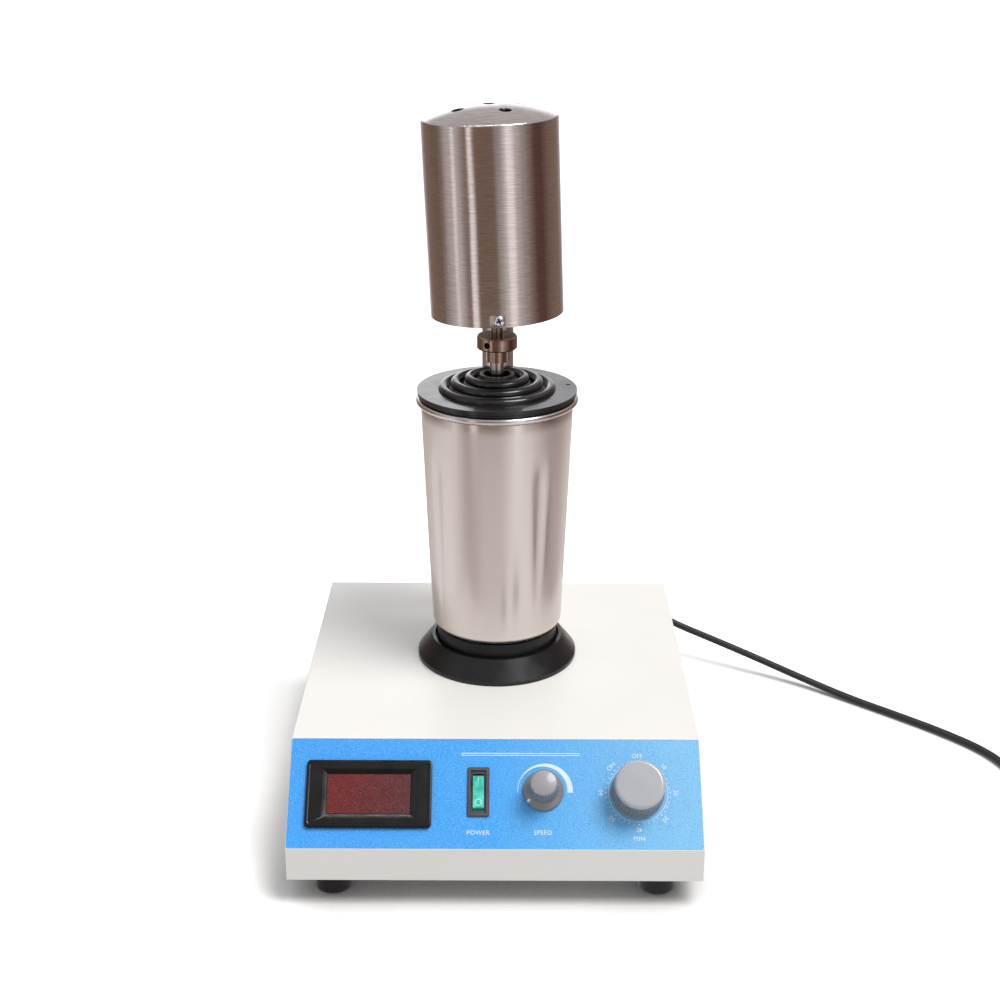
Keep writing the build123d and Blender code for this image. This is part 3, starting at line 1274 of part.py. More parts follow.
# Plug on its side, with a moulded boot and three flat pins
plug_h = 2 * coil_end.Z
plug_frame = Plane(origin=tail_end, x_dir=(1, 0, 0), z_dir=coil_end_way)
body_frame = plug_frame.offset(PLUG_BOOT)
with BuildPart() as mains_plug:
    with BuildSketch(body_frame):
        RectangleRounded(PLUG_TIP_WIDTH, plug_h, PLUG_EDGE_R)
    with BuildSketch(body_frame.offset(PLUG_LENGTH / 2)):
        RectangleRounded(PLUG_WIDTH, plug_h, PLUG_EDGE_R)
    loft()
    with BuildSketch(body_frame.offset(PLUG_LENGTH / 2)):
        RectangleRounded(PLUG_WIDTH, plug_h, PLUG_EDGE_R)
    extrude(amount=PLUG_LENGTH / 2)
    with BuildSketch(plug_frame):
        Circle(PLUG_BOOT_R)
    with BuildSketch(body_frame):
        Circle(PLUG_ROOT_R)
    loft()

with BuildPart() as plug_pins:
    for side, lift, turn in ((-1, -PIN_DROP, 30), (1, -PIN_DROP, -30), (0, PIN_DROP, 90)):
        with BuildSketch(body_frame.offset(PLUG_LENGTH)):
            with Locations((side * PIN_SPREAD, lift)):
                Rectangle(PIN_T, PIN_WIDTH, rotation=turn)
        extrude(amount=PIN_LENGTH)


pieces = {
    "base_housing": base_housing,
    "bottom_plate": bottom_plate,
    "plate_screws": plate_screws,
    "rubber_feet": rubber_feet,
    "foot_bolts": foot_bolts,
    "control_panel": control_panel,
    "meter_case": meter_case,
    "meter_window": meter_window,
    "switch_frame": switch_frame,
    "power_rocker": power_rocker,
    "speed_control": speed_control,
    "timer_body": timer_body,
    "control_nuts": control_nuts,
    "speed_spindle": speed_spindle,
    "timer_spindle": timer_spindle,
    "speed_knob": speed_knob,
    "timer_knob": timer_knob,
    "control_board": control_board,
    "board_standoffs": board_standoffs,
    "heat_sink": heat_sink,
    "cup_seat": cup_seat,
    "seat_screws": seat_screws,
    "seat_pad": seat_pad,
    "cup": cup,
    "cup_lid": cup_lid,
    "column": column,
    "column_foot_collar": column_foot_collar,
    "column_backing_plate": column_backing_plate,
    "column_nut": column_nut,
    "clamp_collar": clamp_collar,
    "clamp_knob": clamp_knob,
    "lift_rod": lift_rod,
    "motor_bracket": motor_bracket,
    "bracket_screw": bracket_screw,
    "motor_cover": motor_cover,
    "cover_screws": cover_screws,
    "motor_bearings": motor_bearings,
    "motor_stator": motor_stator,
    "field_windings": field_windings,
    "stator_spacers": stator_spacers,
    "tie_bolts": tie_bolts,
    "top_bracket": top_bracket,
    "brush_holders": brush_holders,
    "carbon_brushes": carbon_brushes,
    "motor_shaft": motor_shaft,
    "armature_core": armature_core,
    "armature_windings": armature_windings,
    "commutator": commutator,
    "cooling_fan": cooling_fan,
    "shaft_coupling": shaft_coupling,
    "coupling_grub_screws": coupling_grub_screws,
    "blade_shaft": blade_shaft,
    "upper_blade": upper_blade,
    "lower_blade": lower_blade,
    "blade_nut": blade_nut,
    "cord_gland": cord_gland,
    "power_cord": power_cord,
    "cord_coil": cord_coil,
    "mains_plug": mains_plug,
    "plug_pins": plug_pins,
}
for name, piece in pieces.items():
    piece.part.label = name
    export_step(piece.part, f"parts/{name}.step")
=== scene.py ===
import json
from math import atan2, ceil, cos, hypot, pi, radians, sin

import bmesh
import bpy
from mathutils import Matrix, Vector


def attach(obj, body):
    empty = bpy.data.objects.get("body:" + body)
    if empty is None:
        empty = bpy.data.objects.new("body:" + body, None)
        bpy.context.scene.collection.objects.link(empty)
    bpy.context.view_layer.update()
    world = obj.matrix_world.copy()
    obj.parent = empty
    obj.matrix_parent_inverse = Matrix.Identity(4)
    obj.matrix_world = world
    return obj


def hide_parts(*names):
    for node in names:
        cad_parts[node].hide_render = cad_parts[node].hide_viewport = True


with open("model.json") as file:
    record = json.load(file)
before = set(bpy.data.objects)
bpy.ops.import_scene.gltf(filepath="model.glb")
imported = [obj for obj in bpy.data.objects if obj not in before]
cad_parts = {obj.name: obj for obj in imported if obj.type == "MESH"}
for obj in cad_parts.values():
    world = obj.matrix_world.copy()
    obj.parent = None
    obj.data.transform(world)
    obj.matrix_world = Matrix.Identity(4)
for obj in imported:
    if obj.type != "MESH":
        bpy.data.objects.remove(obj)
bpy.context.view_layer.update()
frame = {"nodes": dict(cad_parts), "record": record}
nodes = frame["nodes"]
scene = bpy.context.scene
MM = 0.001
MILLIMETRES = Matrix.Scale(MM, 4)

# Camera at the photograph's angle
LENS = 55.66
SENSOR = 36.0
CAMERA_PLACE = (0.00709, -0.9608, 0.5854)
PITCH = radians(21.04)
YAW = radians(-0.289)
ROLL = radians(0.06)

forward = Vector((sin(YAW) * cos(PITCH), cos(YAW) * cos(PITCH), -sin(PITCH)))
level = Vector((cos(YAW), -sin(YAW), 0))
upward = level.cross(forward)
right = level * cos(ROLL) + upward * sin(ROLL)
up = upward * cos(ROLL) - level * sin(ROLL)
camera = bpy.data.objects.new("camera", bpy.data.cameras.new("camera"))
camera.data.lens = LENS
camera.data.sensor_width = SENSOR
camera.matrix_world = Matrix.Translation(CAMERA_PLACE) @ Matrix((right, up, -forward)).transposed().to_4x4()
scene.collection.objects.link(camera)
scene.camera = camera
scene.view_settings.view_transform = "Standard"


def feed(tree, socket, value):
    """Link another node to an input, or set the input to a number, a vector or a colour."""
    if isinstance(value, bpy.types.NodeSocket):
        tree.links.new(value, socket)
    elif socket.type == "RGBA":
        socket.default_value = (*value, 1)
    else:
        socket.default_value = value


def wired(tree, kind, inputs, **settings):
    """New shader node with its settings, and its inputs by name or by number."""
    node = tree.nodes.new(f"ShaderNode{kind}")
    for setting, value in settings.items():
        setattr(node, setting, value)
    for key, value in inputs.items():
        feed(tree, node.inputs[key], value)
    return node


def calculated(tree, operation, *values):
    return wired(tree, "Math", dict(enumerate(values)), operation=operation).outputs[0]


def mixed_color(tree, share, first, second):
    """Mix of two colours; each value is a constant or a socket."""
    node = wired(tree, "Mix", {"Factor": share}, data_type="RGBA")
    sockets = [socket for socket in node.inputs if socket.type == "RGBA"]
    feed(tree, sockets[0], first)
    feed(tree, sockets[1], second)
    return [socket for socket in node.outputs if socket.type == "RGBA"][0]


NOISE_LOW = 0.35
NOISE_HIGH = 0.65
BRUSH_TURN = 0.25
finishes = {}


class Finish:
    """A node material whose textures lie in the piece's own frame, with sizes in millimetres."""

    def __init__(self, name, color, roughness, metallic=0.0, **sockets):
        self.material = bpy.data.materials.new(name)
        self.material.use_nodes = True
        self.tree = self.material.node_tree
        self.inputs = self.tree.nodes["Principled BSDF"].inputs
        feed(self.tree, self.inputs["Base Color"], color)
        feed(self.tree, self.inputs["Roughness"], roughness)
        feed(self.tree, self.inputs["Metallic"], metallic)
        for socket, value in sockets.items():
            feed(self.tree, self.inputs[socket.replace("_", " ")], value)
        self.place = wired(self.tree, "TexCoord", {}).outputs["Object"]
        self.normal = None
        finishes[name] = self

    def noise(self, sizes, detail=2.0, roughness=0.5):
        scale = [1 / (size * MM) for size in sizes]
        mapping = wired(self.tree, "Mapping", {"Scale": scale, "Vector": self.place})
        return wired(self.tree, "TexNoise", {
            "Scale": 1.0, "Detail": detail, "Roughness": roughness, "Vector": mapping.outputs["Vector"],
        }).outputs["Fac"]

    def along(self, axis):
        return wired(self.tree, "SeparateXYZ", {"Vector": self.place}).outputs[axis]

    def ranged(self, value, from_low, from_high, low, high):
        return wired(self.tree, "MapRange", {
            "From Min": from_low, "From Max": from_high, "To Min": low, "To Max": high, "Value": value,
        }).outputs["Result"]

    def mixed(self, share, first, second):
        return mixed_color(self.tree, share, first, second)

    def color(self, value):
        feed(self.tree, self.inputs["Base Color"], value)

    def rough(self, value, low, high):
        feed(self.tree, self.inputs["Roughness"], self.ranged(value, NOISE_LOW, NOISE_HIGH, low, high))

    def bump(self, value, depth):
        node = wired(self.tree, "Bump", {"Strength": 1.0, "Distance": depth * MM, "Height": value})
        if self.normal:
            feed(self.tree, node.inputs["Normal"], self.normal)
        self.normal = node.outputs["Normal"]
        feed(self.tree, self.inputs["Normal"], self.normal)

    def brushed_round(self):
        """Brush marks that run round the upright axis."""
        node = wired(self.tree, "Tangent", {}, direction_type="RADIAL", axis="Z")
        feed(self.tree, self.inputs["Tangent"], node.outputs["Tangent"])
        feed(self.tree, self.inputs["Anisotropic Rotation"], BRUSH_TURN)


def shade(color, factor):
    return tuple(min(1.0, part * factor) for part in color)


def toned(finish, sizes, color, spread):
    """Vary the base colour a little either side."""
    share = finish.ranged(finish.noise(sizes), NOISE_LOW, NOISE_HIGH, 0, 1)
    finish.color(finish.mixed(share, shade(color, 1 - spread), shade(color, 1 + spread)))


def metal(
    name, color, roughness, line=0.5, length=30.0, spread=0.06, depth=0.006, anisotropic=0.0, uneven=0.045,
):
    """Steel with fine level brush marks."""
    finish = Finish(name, color, roughness, 1.0, Anisotropic=anisotropic)
    toned(finish, (length, length, line), color, spread)
    marks = finish.noise((length, length, line / 2), 3.0, 0.6)
    finish.rough(marks, roughness - uneven, roughness + uneven)
    finish.bump(marks, depth)
    if anisotropic:
        finish.brushed_round()


def moulded(name, color, roughness, grain=0.35, depth=0.01, spread=0.08, **sockets):
    """Plastic, lacquer or rubber with a fine grain and a little uneven tone."""
    finish = Finish(name, color, roughness, **sockets)
    toned(finish, (9, 9, 9), color, spread)
    finish.rough(finish.noise((14, 14, 14), 4.0), roughness - 0.06, roughness + 0.08)
    finish.bump(finish.noise((grain, grain, grain), 2.0), depth)


def painted():
    white = (0.90, 0.885, 0.86)
    paint = Finish("white_paint", white, 0.38)
    toned(paint, (70, 70, 70), white, 0.012)
    paint.rough(paint.noise((3, 3, 3), 3.0), 0.34, 0.44)
    paint.bump(paint.noise((1.6, 1.6, 1.6), 2.0), 0.012)


def labelled():
    """Blue sheet that pales to the right as a painted sheen, with a fine light and dark grain."""
    blue = (0.040, 0.37, 1.0)
    mid_blue = (0.045, 0.40, 0.96)
    sheen_pale_blue = (0.25, 0.61, 0.93)
    dark_grain = (0.005, 0.22, 0.78)
    light_grain = (0.22, 0.61, 0.93)
    label = Finish("blue_label", blue, 0.42, Specular_IOR_Level=0.35)
    # Painted sheen: the blue goes from deep on the left through a middle blue to pale on the right
    ground = label.mixed(label.ranged(label.along("X"), -0.125, 0.02, 0, 1), blue, mid_blue)
    ground = label.mixed(label.ranged(label.along("X"), 0.0, 0.115, 0, 1), ground, sheen_pale_blue)
    speckle = label.noise((0.55, 0.55, 0.55), 1.0)
    ground = label.mixed(label.ranged(speckle, 0.50, 0.36, 0, 0.5), ground, dark_grain)
    label.color(label.mixed(label.ranged(speckle, 0.50, 0.64, 0, 0.5), ground, light_grain))
    label.rough(label.noise((0.7, 0.7, 0.7), 2.0), 0.36, 0.52)
    label.bump(label.noise((0.45, 0.45, 0.45), 2.0), 0.01)


def red_window():
    """Dark red filter with fine red dots, paler towards the right."""
    window = Finish("red_window", (0.10, 0.012, 0.012), 0.20, Specular_IOR_Level=0.4)
    dots = window.ranged(window.noise((0.38, 0.38, 0.38), 1.0), 0.42, 0.62, 0, 1)
    clouds = window.ranged(window.noise((12, 12, 12)), 0.4, 0.6, 0, 1)
    tone = window.mixed(clouds, (0.030, 0.006, 0.007), (0.050, 0.010, 0.012))
    to_right = window.ranged(window.along("X"), -0.105, -0.055, 0, 1)
    lit = window.mixed(to_right, (0.34, 0.035, 0.035), (0.22, 0.060, 0.065))
    window.color(window.mixed(dots, tone, lit))
    window.rough(window.noise((4, 4, 4)), 0.18, 0.28)


def green_lens():
    lens = Finish("green_lens", (0.08, 0.66, 0.54), 0.16, Coat_Weight=0.5, IOR=1.49)
    tone = lens.ranged(lens.noise((4, 6, 6), 2.0), 0.38, 0.62, 0, 1)
    lens.color(lens.mixed(tone, (0.035, 0.60, 0.46), (0.13, 0.80, 0.70)))
    lens.rough(lens.noise((2, 2, 2)), 0.12, 0.22)


def cast_alloy():
    alloy = (0.52, 0.52, 0.53)
    cast = Finish("cast_alloy", alloy, 0.46, 1.0)
    toned(cast, (5, 5, 5), alloy, 0.08)
    cast.rough(cast.noise((1.5, 1.5, 1.5), 3.0), 0.40, 0.56)
    cast.bump(cast.noise((0.7, 0.7, 0.7), 3.0), 0.05)


def lamination():
    """Stack of thin steel sheets, one above the other."""
    steel = (0.22, 0.22, 0.235)
    sheet = (60, 60, 0.5)
    stack = Finish("lamination", steel, 0.50, 1.0)
    sheets = stack.noise(sheet, 0.0)
    toned(stack, sheet, steel, 0.35)
    stack.rough(sheets, 0.42, 0.60)
    stack.bump(sheets, 0.08)


def copper():
    """Wound copper wire."""
    bare = (0.50, 0.19, 0.07)
    strand = (1.2, 1.2, 0.45)
    winding = Finish("copper", bare, 0.30, 1.0, Coat_Weight=0.4)
    wire = winding.noise(strand, 1.0)
    toned(winding, strand, bare, 0.3)
    winding.rough(wire, 0.24, 0.42)
    winding.bump(wire, 0.12)


painted()
labelled()
red_window()
green_lens()
cast_alloy()
lamination()
copper()

moulded("black_plastic", (0.020, 0.020, 0.022), 0.22, grain=0.8, depth=0.003)
moulded("meter_black", (0.008, 0.008, 0.009), 0.20, grain=1.2, depth=0.0004, Specular_IOR_Level=0.35)
moulded("seat_black", (0.010, 0.010, 0.011), 0.26, grain=0.6, depth=0.002, Specular_IOR_Level=0.4)
moulded("lid_black", (0.010, 0.010, 0.012), 0.19, grain=0.6, depth=0.0015, Coat_Weight=0.15)
moulded("dark_grey_plastic", (0.080, 0.070, 0.080), 0.34)
moulded("grey_plastic", (0.33, 0.34, 0.36), 0.40, depth=0.006, spread=0.04)
moulded("black_rubber", (0.010, 0.010, 0.011), 0.42, grain=0.5, Specular_IOR_Level=0.25)
moulded("cord_black", (0.018, 0.018, 0.020), 0.40, grain=0.6, depth=0.008)
moulded("carbon", (0.04, 0.04, 0.042), 0.55, grain=0.3, depth=0.02)
moulded("board_green", (0.03, 0.17, 0.07), 0.38, grain=1.2)
moulded("print_white", (0.74, 0.90, 0.95), 0.45, grain=0.5, depth=0.004, spread=0.03)
moulded("small_cap", (0.35, 0.345, 0.365), 0.30, grain=0.4, depth=0.002, spread=0.01, Coat_Weight=0.3)
moulded("large_cap", (0.455, 0.465, 0.505), 0.20, grain=0.4, depth=0.001, spread=0.006, Coat_Weight=0.4)
moulded("knob_side", (0.24, 0.232, 0.22), 0.28, grain=0.4, depth=0.001, spread=0.03, Coat_Weight=0.3)

metal(
    "cup_steel", (0.69, 0.635, 0.605), 0.23, line=0.4, length=40, spread=0.008, depth=0.0003,
    anisotropic=0.6, uneven=0.012,
)
metal(
    "cover_steel", (0.64, 0.59, 0.57), 0.15, line=0.3, length=8, spread=0.12, depth=0.003,
    anisotropic=0.7, uneven=0.035,
)
metal("stainless", (0.60, 0.57, 0.55), 0.30)
metal("polished_steel", (0.58, 0.55, 0.53), 0.20, line=0.35, spread=0.04)
metal("coupling_steel", (0.37, 0.265, 0.215), 0.16, line=0.3, length=12, spread=0.12)
# Dark brown steel for the motor shaft
metal("dark_brown_steel", (0.22, 0.18, 0.15), 0.22, line=0.3, length=12, spread=0.12)
# Near-black grub screws; their dark colour also paints the shade in their holes
metal("black_grub_and_hole_shade", (0.030, 0.027, 0.030), 0.40, line=0.4, length=3)
metal("seam_steel", (0.40, 0.35, 0.32), 0.24, line=0.4, length=4)
metal("bracket_alloy", (0.88, 0.85, 0.81), 0.45, line=0.6, length=12)
# Dark blue painted shade for the cross recesses of the cover screws
metal("painted_recess_shade", (0.03, 0.05, 0.13), 0.4, line=0.4, length=3)
metal("zinc_screw", (0.76, 0.78, 0.82), 0.24, line=0.4, length=3)
metal("plain_steel", (0.46, 0.45, 0.44), 0.34, length=10, spread=0.1)
metal("bare_alloy", (0.66, 0.66, 0.67), 0.36, line=0.8)
metal("brass", (0.72, 0.53, 0.24), 0.28, line=0.4, length=8)

own_finish = {
    "cup": "cup_steel", "motor_cover": "cover_steel", "shaft_coupling": "coupling_steel",
    "cup_lid": "lid_black", "cup_seat": "seat_black", "motor_bracket": "bracket_alloy",
    "motor_shaft": "dark_brown_steel", "coupling_grub_screws": "black_grub_and_hole_shade",
}
slot_of = {part["node"]: part["material_slot"] for part in frame["record"]["subparts"]}
for name, piece in nodes.items():
    finish = finishes[own_finish.get(name, slot_of[name])].material
    if not piece.material_slots:
        piece.data.materials.append(finish)
    for place in piece.material_slots:
        place.material = finish

SHARP_ANGLE = radians(35)


def piece_from(name, mesh, body, slot_name, finish, smooth=True, replaced=()):
    """Link a finished mesh, give it its finish, and let it ride on its body."""
    mesh.materials.clear()
    mesh.materials.append(finishes[finish].material)
    for face in mesh.polygons:
        face.use_smooth = smooth
    piece = bpy.data.objects.new(name, mesh)
    scene.collection.objects.link(piece)
    if smooth:
        mesh.set_sharp_from_angle(angle=SHARP_ANGLE)
    if replaced:
        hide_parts(*replaced)
    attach(piece, body)
    return piece


# Cord: the route and coil of the source, as the control points of one smooth curve
CORD_D = 5.4
GLAND_TIP = (92, 174, 50)
COIL_CENTRE = (425, -10)
COIL_INNER = 22.4
COIL_STEP = 5.94
COIL_TURNS = 6.4444
COIL_FROM = 200
COIL_SOFT = 30
COIL_SPANS = 26
COIL_TAIL = 24
COIL_LEAD_IN = 31
POINTS_PER_TURN = 18
cord_rest = CORD_D / 2 + 0.05
route = [
    GLAND_TIP, (92, 191, 50), (99, 206, 46), (113, 214.5, 40.5), (131, 213.5, 33), (149, 205.5, 26),
    (174, 190, 21.5), (207, 171, 14.5), (243, 149, 6.5), (275, 122.5, 2.9), (308, 94, 2.75),
    (337, 67.5, 2.75), (362, 39, 2.75),
]
whole_turn = 360 * COIL_TURNS


def eased(value, low, high):
    """Smooth step from 0 at the low value to 1 at the high one."""
    share = min(1.0, max(0.0, (value - low) / (high - low)))
    return share * share * (3 - 2 * share)


def coil_point(turned):
    middle = turned - whole_turn / 2
    radius = COIL_INNER + COIL_STEP * hypot(middle, COIL_SOFT) / 360
    climb_span = whole_turn / COIL_SPANS
    climb = eased(middle, -climb_span, climb_span)
    angle = radians(COIL_FROM + turned)
    return Vector((
        COIL_CENTRE[0] + radius * cos(angle), COIL_CENTRE[1] + radius * sin(angle),
        cord_rest + COIL_STEP * climb,
    ))


def coil_way(turned):
    way = coil_point(turned + 0.5) - coil_point(turned - 0.5)
    way.z = 0
    return way.normalized()


coil_in = coil_point(0) - coil_way(0) * CORD_D
route.append(tuple(coil_in - coil_way(0) * COIL_LEAD_IN))
route.append(tuple(coil_in))
steps = ceil(COIL_TURNS * POINTS_PER_TURN)
for step in range(steps + 1):
    route.append(tuple(coil_point(whole_turn * step / steps)))
route.append(tuple(coil_point(whole_turn) + coil_way(whole_turn) * COIL_TAIL / 2))
route.append(tuple(coil_point(whole_turn) + coil_way(whole_turn) * COIL_TAIL))

cord_curve = bpy.data.curves.new("mains_lead", "CURVE")
cord_curve.dimensions = "3D"
cord_curve.bevel_depth = CORD_D / 2 * MM
cord_curve.bevel_resolution = 6
cord_curve.use_fill_caps = True
spline = cord_curve.splines.new("NURBS")
spline.points.add(len(route) - 1)
for point, place in zip(spline.points, route):
    point.co = (*(Vector(place) * MM), 1)
spline.order_u = 3
spline.use_endpoint_u = True
spline.resolution_u = 8
cord_curve.materials.append(finishes["cord_black"].material)
lead = bpy.data.objects.new("mains_lead", cord_curve)
scene.collection.objects.link(lead)
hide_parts("power_cord", "cord_coil")
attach(lead, "base")

# Frame of the sloping panel: x to the right, s up the slope, h out of the sheet
SLOPE_RUN = 51.5
SLOPE_RISE = 49.0
LABEL_TOP = 0.4
PRINT = 0.06
PANEL_FOOT = Vector((0, -147, 40.8))
slope_up = Vector((0, SLOPE_RUN, SLOPE_RISE)).normalized()
slope_out = Vector((0, -SLOPE_RISE, SLOPE_RUN)).normalized()
panel_axes = Matrix(((1, 0, 0), slope_up, slope_out)).transposed().to_4x4()


def panel_matrix(x, s, h, turn=0.0):
    place = PANEL_FOOT + Vector((x, 0, 0)) + slope_up * s + slope_out * h
    return MILLIMETRES @ Matrix.Translation(place) @ panel_axes @ Matrix.Rotation(radians(turn), 4, "Z")


def lofted(rings, ends=True, loop=False):
    """Mesh through rings that all have the same number of points."""
    mesh = bpy.data.meshes.new("loft")
    form = bmesh.new()
    rows = [[form.verts.new(point) for point in ring] for ring in rings]
    count = len(rings[0])
    following = rows[1:] + rows[:1] if loop else rows[1:]
    for low, high in zip(rows, following):
        for index in range(count):
            after = (index + 1) % count
            form.faces.new((low[index], low[after], high[after], high[index]))
    if ends and not loop:
        form.faces.new(list(reversed(rows[0])))
        form.faces.new(rows[-1])
    bmesh.ops.recalc_face_normals(form, faces=form.faces)
    form.to_mesh(mesh)
    form.free()
    return mesh


def joined(name, meshes):
    """One mesh out of several."""
    form = bmesh.new()
    for mesh in meshes:
        form.from_mesh(mesh)
    whole = bpy.data.meshes.new(name)
    form.to_mesh(whole)
    form.free()
    return whole


def rounded_ring(half_x, half_y, corner, height, per_corner=6):
    """Points of a rounded rectangle at one height."""
    points = []
    for side_x, side_y, start in ((1, 1, 0), (-1, 1, 90), (-1, -1, 180), (1, -1, 270)):
        for index in range(per_corner + 1):
            angle = radians(start + 90 * index / per_corner)
            points.append((
                side_x * (half_x - corner) + corner * cos(angle),
                side_y * (half_y - corner) + corner * sin(angle), height,
            ))
    return points


def round_ring(radius, height, count=96, flutes=0, depth=0.0):
    """Points of a circle, with grip flutes where asked."""
    points = []
    for index in range(count):
        angle = 2 * pi * index / count
        reach = radius
        if flutes:
            reach -= depth * (0.5 - 0.5 * cos(flutes * angle)) ** 0.6
        points.append((reach * cos(angle), reach * sin(angle), height))
    return points


def print_mesh(outlines):
    """Thin printed shapes from closed outlines in the panel plane."""
    shapes = [lofted([[(x, y, z) for x, y in outline] for z in (0, PRINT)]) for outline in outlines]
    return joined("print", shapes)


def bar(x_low, x_high, y_low, y_high):
    return [(x_low, y_low), (x_high, y_low), (x_high, y_high), (x_low, y_high)]


def band(inner, outer, start, end, count):
    """Closed outline between two arcs; each arc is centre x, centre y and radius."""
    turns = [radians(start + (end - start) * index / count) for index in range(count + 1)]
    far = [(outer[0] + outer[2] * cos(turn), outer[1] + outer[2] * sin(turn)) for turn in turns]
    near = [(inner[0] + inner[2] * cos(turn), inner[1] + inner[2] * sin(turn)) for turn in reversed(turns)]
    return far + near


NEARLY_ROUND = 359.99


def hoop(inner_r, outer_r, count):
    """Printed circle line."""
    return band((0, 0, inner_r), (0, 0, outer_r), 0, NEARLY_ROUND, count)


def printed(name, outlines, x, s):
    mesh = print_mesh(outlines)
    mesh.transform(panel_matrix(x, s, LABEL_TOP))
    piece_from(name, mesh, "base", "white_paint", "print_white", smooth=False)


def lettered(name, words, x, s, size, turn=0.0, spacing=1.0):
    """Plain generic lettering printed on the label."""
    curve = bpy.data.curves.new(name, "FONT")
    curve.body = words
    curve.size = size
    curve.align_x = "CENTER"
    curve.align_y = "CENTER"
    curve.space_character = spacing
    curve.extrude = PRINT / 2
    curve.resolution_u = 3
    holder = bpy.data.objects.new(name, curve)
    scene.collection.objects.link(holder)
    bpy.context.view_layer.update()
    mesh = bpy.data.meshes.new_from_object(holder.evaluated_get(bpy.context.evaluated_depsgraph_get()))
    bpy.data.objects.remove(holder)
    mesh.transform(panel_matrix(x, s, LABEL_TOP + PRINT / 2, turn))
    piece_from(name, mesh, "base", "white_paint", "print_white", smooth=False)


# Printing on the label
RULE_LEFT = -21.6
RULE_RIGHT = 53.5
printed("title_rules", [
    bar(RULE_LEFT, RULE_RIGHT, 60.9, 61.35), bar(RULE_LEFT, RULE_RIGHT, 59.6, 60.05),
], 0, 0)
SPEED_ARC = (31.4, 37.1, 17.4)
ARC_SHIFT = 1.55
ARC_TAPER = 0.3
arc_inside = (SPEED_ARC[0] - ARC_SHIFT, SPEED_ARC[1], SPEED_ARC[2] - ARC_SHIFT - ARC_TAPER)
printed("speed_arc", [band(arc_inside, SPEED_ARC, -4, 184, 64)], 0, 0)

TIMER = (89.7, 36.1)
DIAL_R = 18.5
DIAL_LINE = 0.3
DIAL_MARKS = 40
MARKS_PER_DOT = 5
DOT_R = 0.45
DOT_OUT = 1.7
TICK_FROM = 0.7
TICK_TO = 2.3
TICK_HALF = 0.16
dial = [hoop(DIAL_R, DIAL_R + DIAL_LINE, 120)]
for mark in range(DIAL_MARKS):
    turn = radians(90 - 360 / DIAL_MARKS * mark)
    out = Vector((cos(turn), sin(turn)))
    if mark % MARKS_PER_DOT == 0:
        middle = out * (DIAL_R + DOT_OUT)
        dial.append([(middle.x + x, middle.y + y) for x, y, _ in round_ring(DOT_R, 0, 12)])
        continue
    side = Vector((-sin(turn), cos(turn))) * TICK_HALF
    near = out * (DIAL_R + TICK_FROM)
    far = out * (DIAL_R + TICK_TO)
    dial.append([tuple(near - side), tuple(far - side), tuple(far + side), tuple(near + side)])
printed("timer_scale", dial, *TIMER)

NUMBER_R = 23.4
NUMBER_SIZE = 4.0
CAPTION_SIZE = 3.9
CAPTION_SPACING = 1.1
for index, words in enumerate(("OFF", "10", "20", "30", "40", "50", "60", "ON")):
    turn = -45 * index
    reach = radians(90 + turn)
    lettered(
        f"timer_mark_{index}", words, TIMER[0] + NUMBER_R * cos(reach), TIMER[1] + NUMBER_R * sin(reach),
        NUMBER_SIZE, turn,
    )
for name, words, x, s in (
    ("power_caption", "POWER", -10.5, 10.4), ("speed_caption", "SPEED", 29.8, 10.6),
    ("timer_caption", "MIN", 89.5, 7.0),
):
    lettered(name, words, x, s, CAPTION_SIZE, spacing=CAPTION_SPACING)

# Panel meter: raised rim, flat border and mitred step down to the window
METER = (-79.2, 34.4)
meter = lofted([rounded_ring(*level) for level in (
    (26.02, 12.52, 0.3, -0.2), (26.02, 12.52, 0.3, 1.5), (27.0, 13.5, 0.5, 2.0), (29.4, 15.6, 0.7, 2.55),
    (29.8, 16.0, 0.8, 2.9), (36.8, 18.9, 1.5, 2.9), (37.3, 19.3, 1.7, 3.3), (38.6, 20.6, 2.2, 3.4),
    (39.2, 21.2, 2.4, 3.2), (39.5, 21.5, 2.5, 2.7), (39.5, 21.5, 2.5, 0.4), (37.5, 19.5, 0.5, 0.4),
    (37.5, 19.5, 0.5, -33.6),
)])
meter.transform(panel_matrix(*METER, 0))
piece_from("meter_frame", meter, "base", "black_plastic", "meter_black", replaced=["meter_case"])

# Switch: bevelled frame round a black well, and the marks on its rocker
SWITCH = (-10.5, 36.1)
switch = lofted([rounded_ring(*level) for level in (
    (3.75, 11.75, 0.2, -9.0), (3.75, 11.75, 0.2, 0.4), (4.5, 13.3, 0.4, 0.4), (4.75, 13.55, 0.5, 1.9),
    (5.0, 13.8, 0.6, 2.2), (6.3, 15.1, 0.9, 2.2), (6.85, 15.65, 1.0, 1.6), (6.85, 15.65, 0.8, 0.4),
    (5.65, 14.45, 0.3, 0.4), (5.65, 14.45, 0.3, -19.6),
)])
switch.transform(panel_matrix(*SWITCH, 0))
piece_from(
    "switch_bezel", switch, "base", "dark_grey_plastic", "dark_grey_plastic", replaced=["switch_frame"],
)

ROCKER_RISE = 16
OFF_MARK = (SWITCH[0], 29.4, 1.546)
ON_MARK = (SWITCH[0], 43.6, 3.92)
ring_mark = print_mesh([hoop(1.75, 2.15, 48)])
ring_mark.transform(panel_matrix(*OFF_MARK))
piece_from("rocker_off_mark", ring_mark, "power_rocker", "white_paint", "print_white", smooth=False)
line_mark = print_mesh([bar(-0.2, 0.2, -1.4, 1.4)])
line_mark.transform(panel_matrix(*ON_MARK) @ Matrix.Rotation(radians(ROCKER_RISE), 4, "X"))
piece_from("rocker_on_mark", line_mark, "power_rocker", "white_paint", "print_white", smooth=False)
softened = nodes["power_rocker"].modifiers.new("softened", "BEVEL")
softened.width = 0.4 * MM
softened.segments = 3
softened.limit_method = "ANGLE"
softened.angle_limit = radians(30)


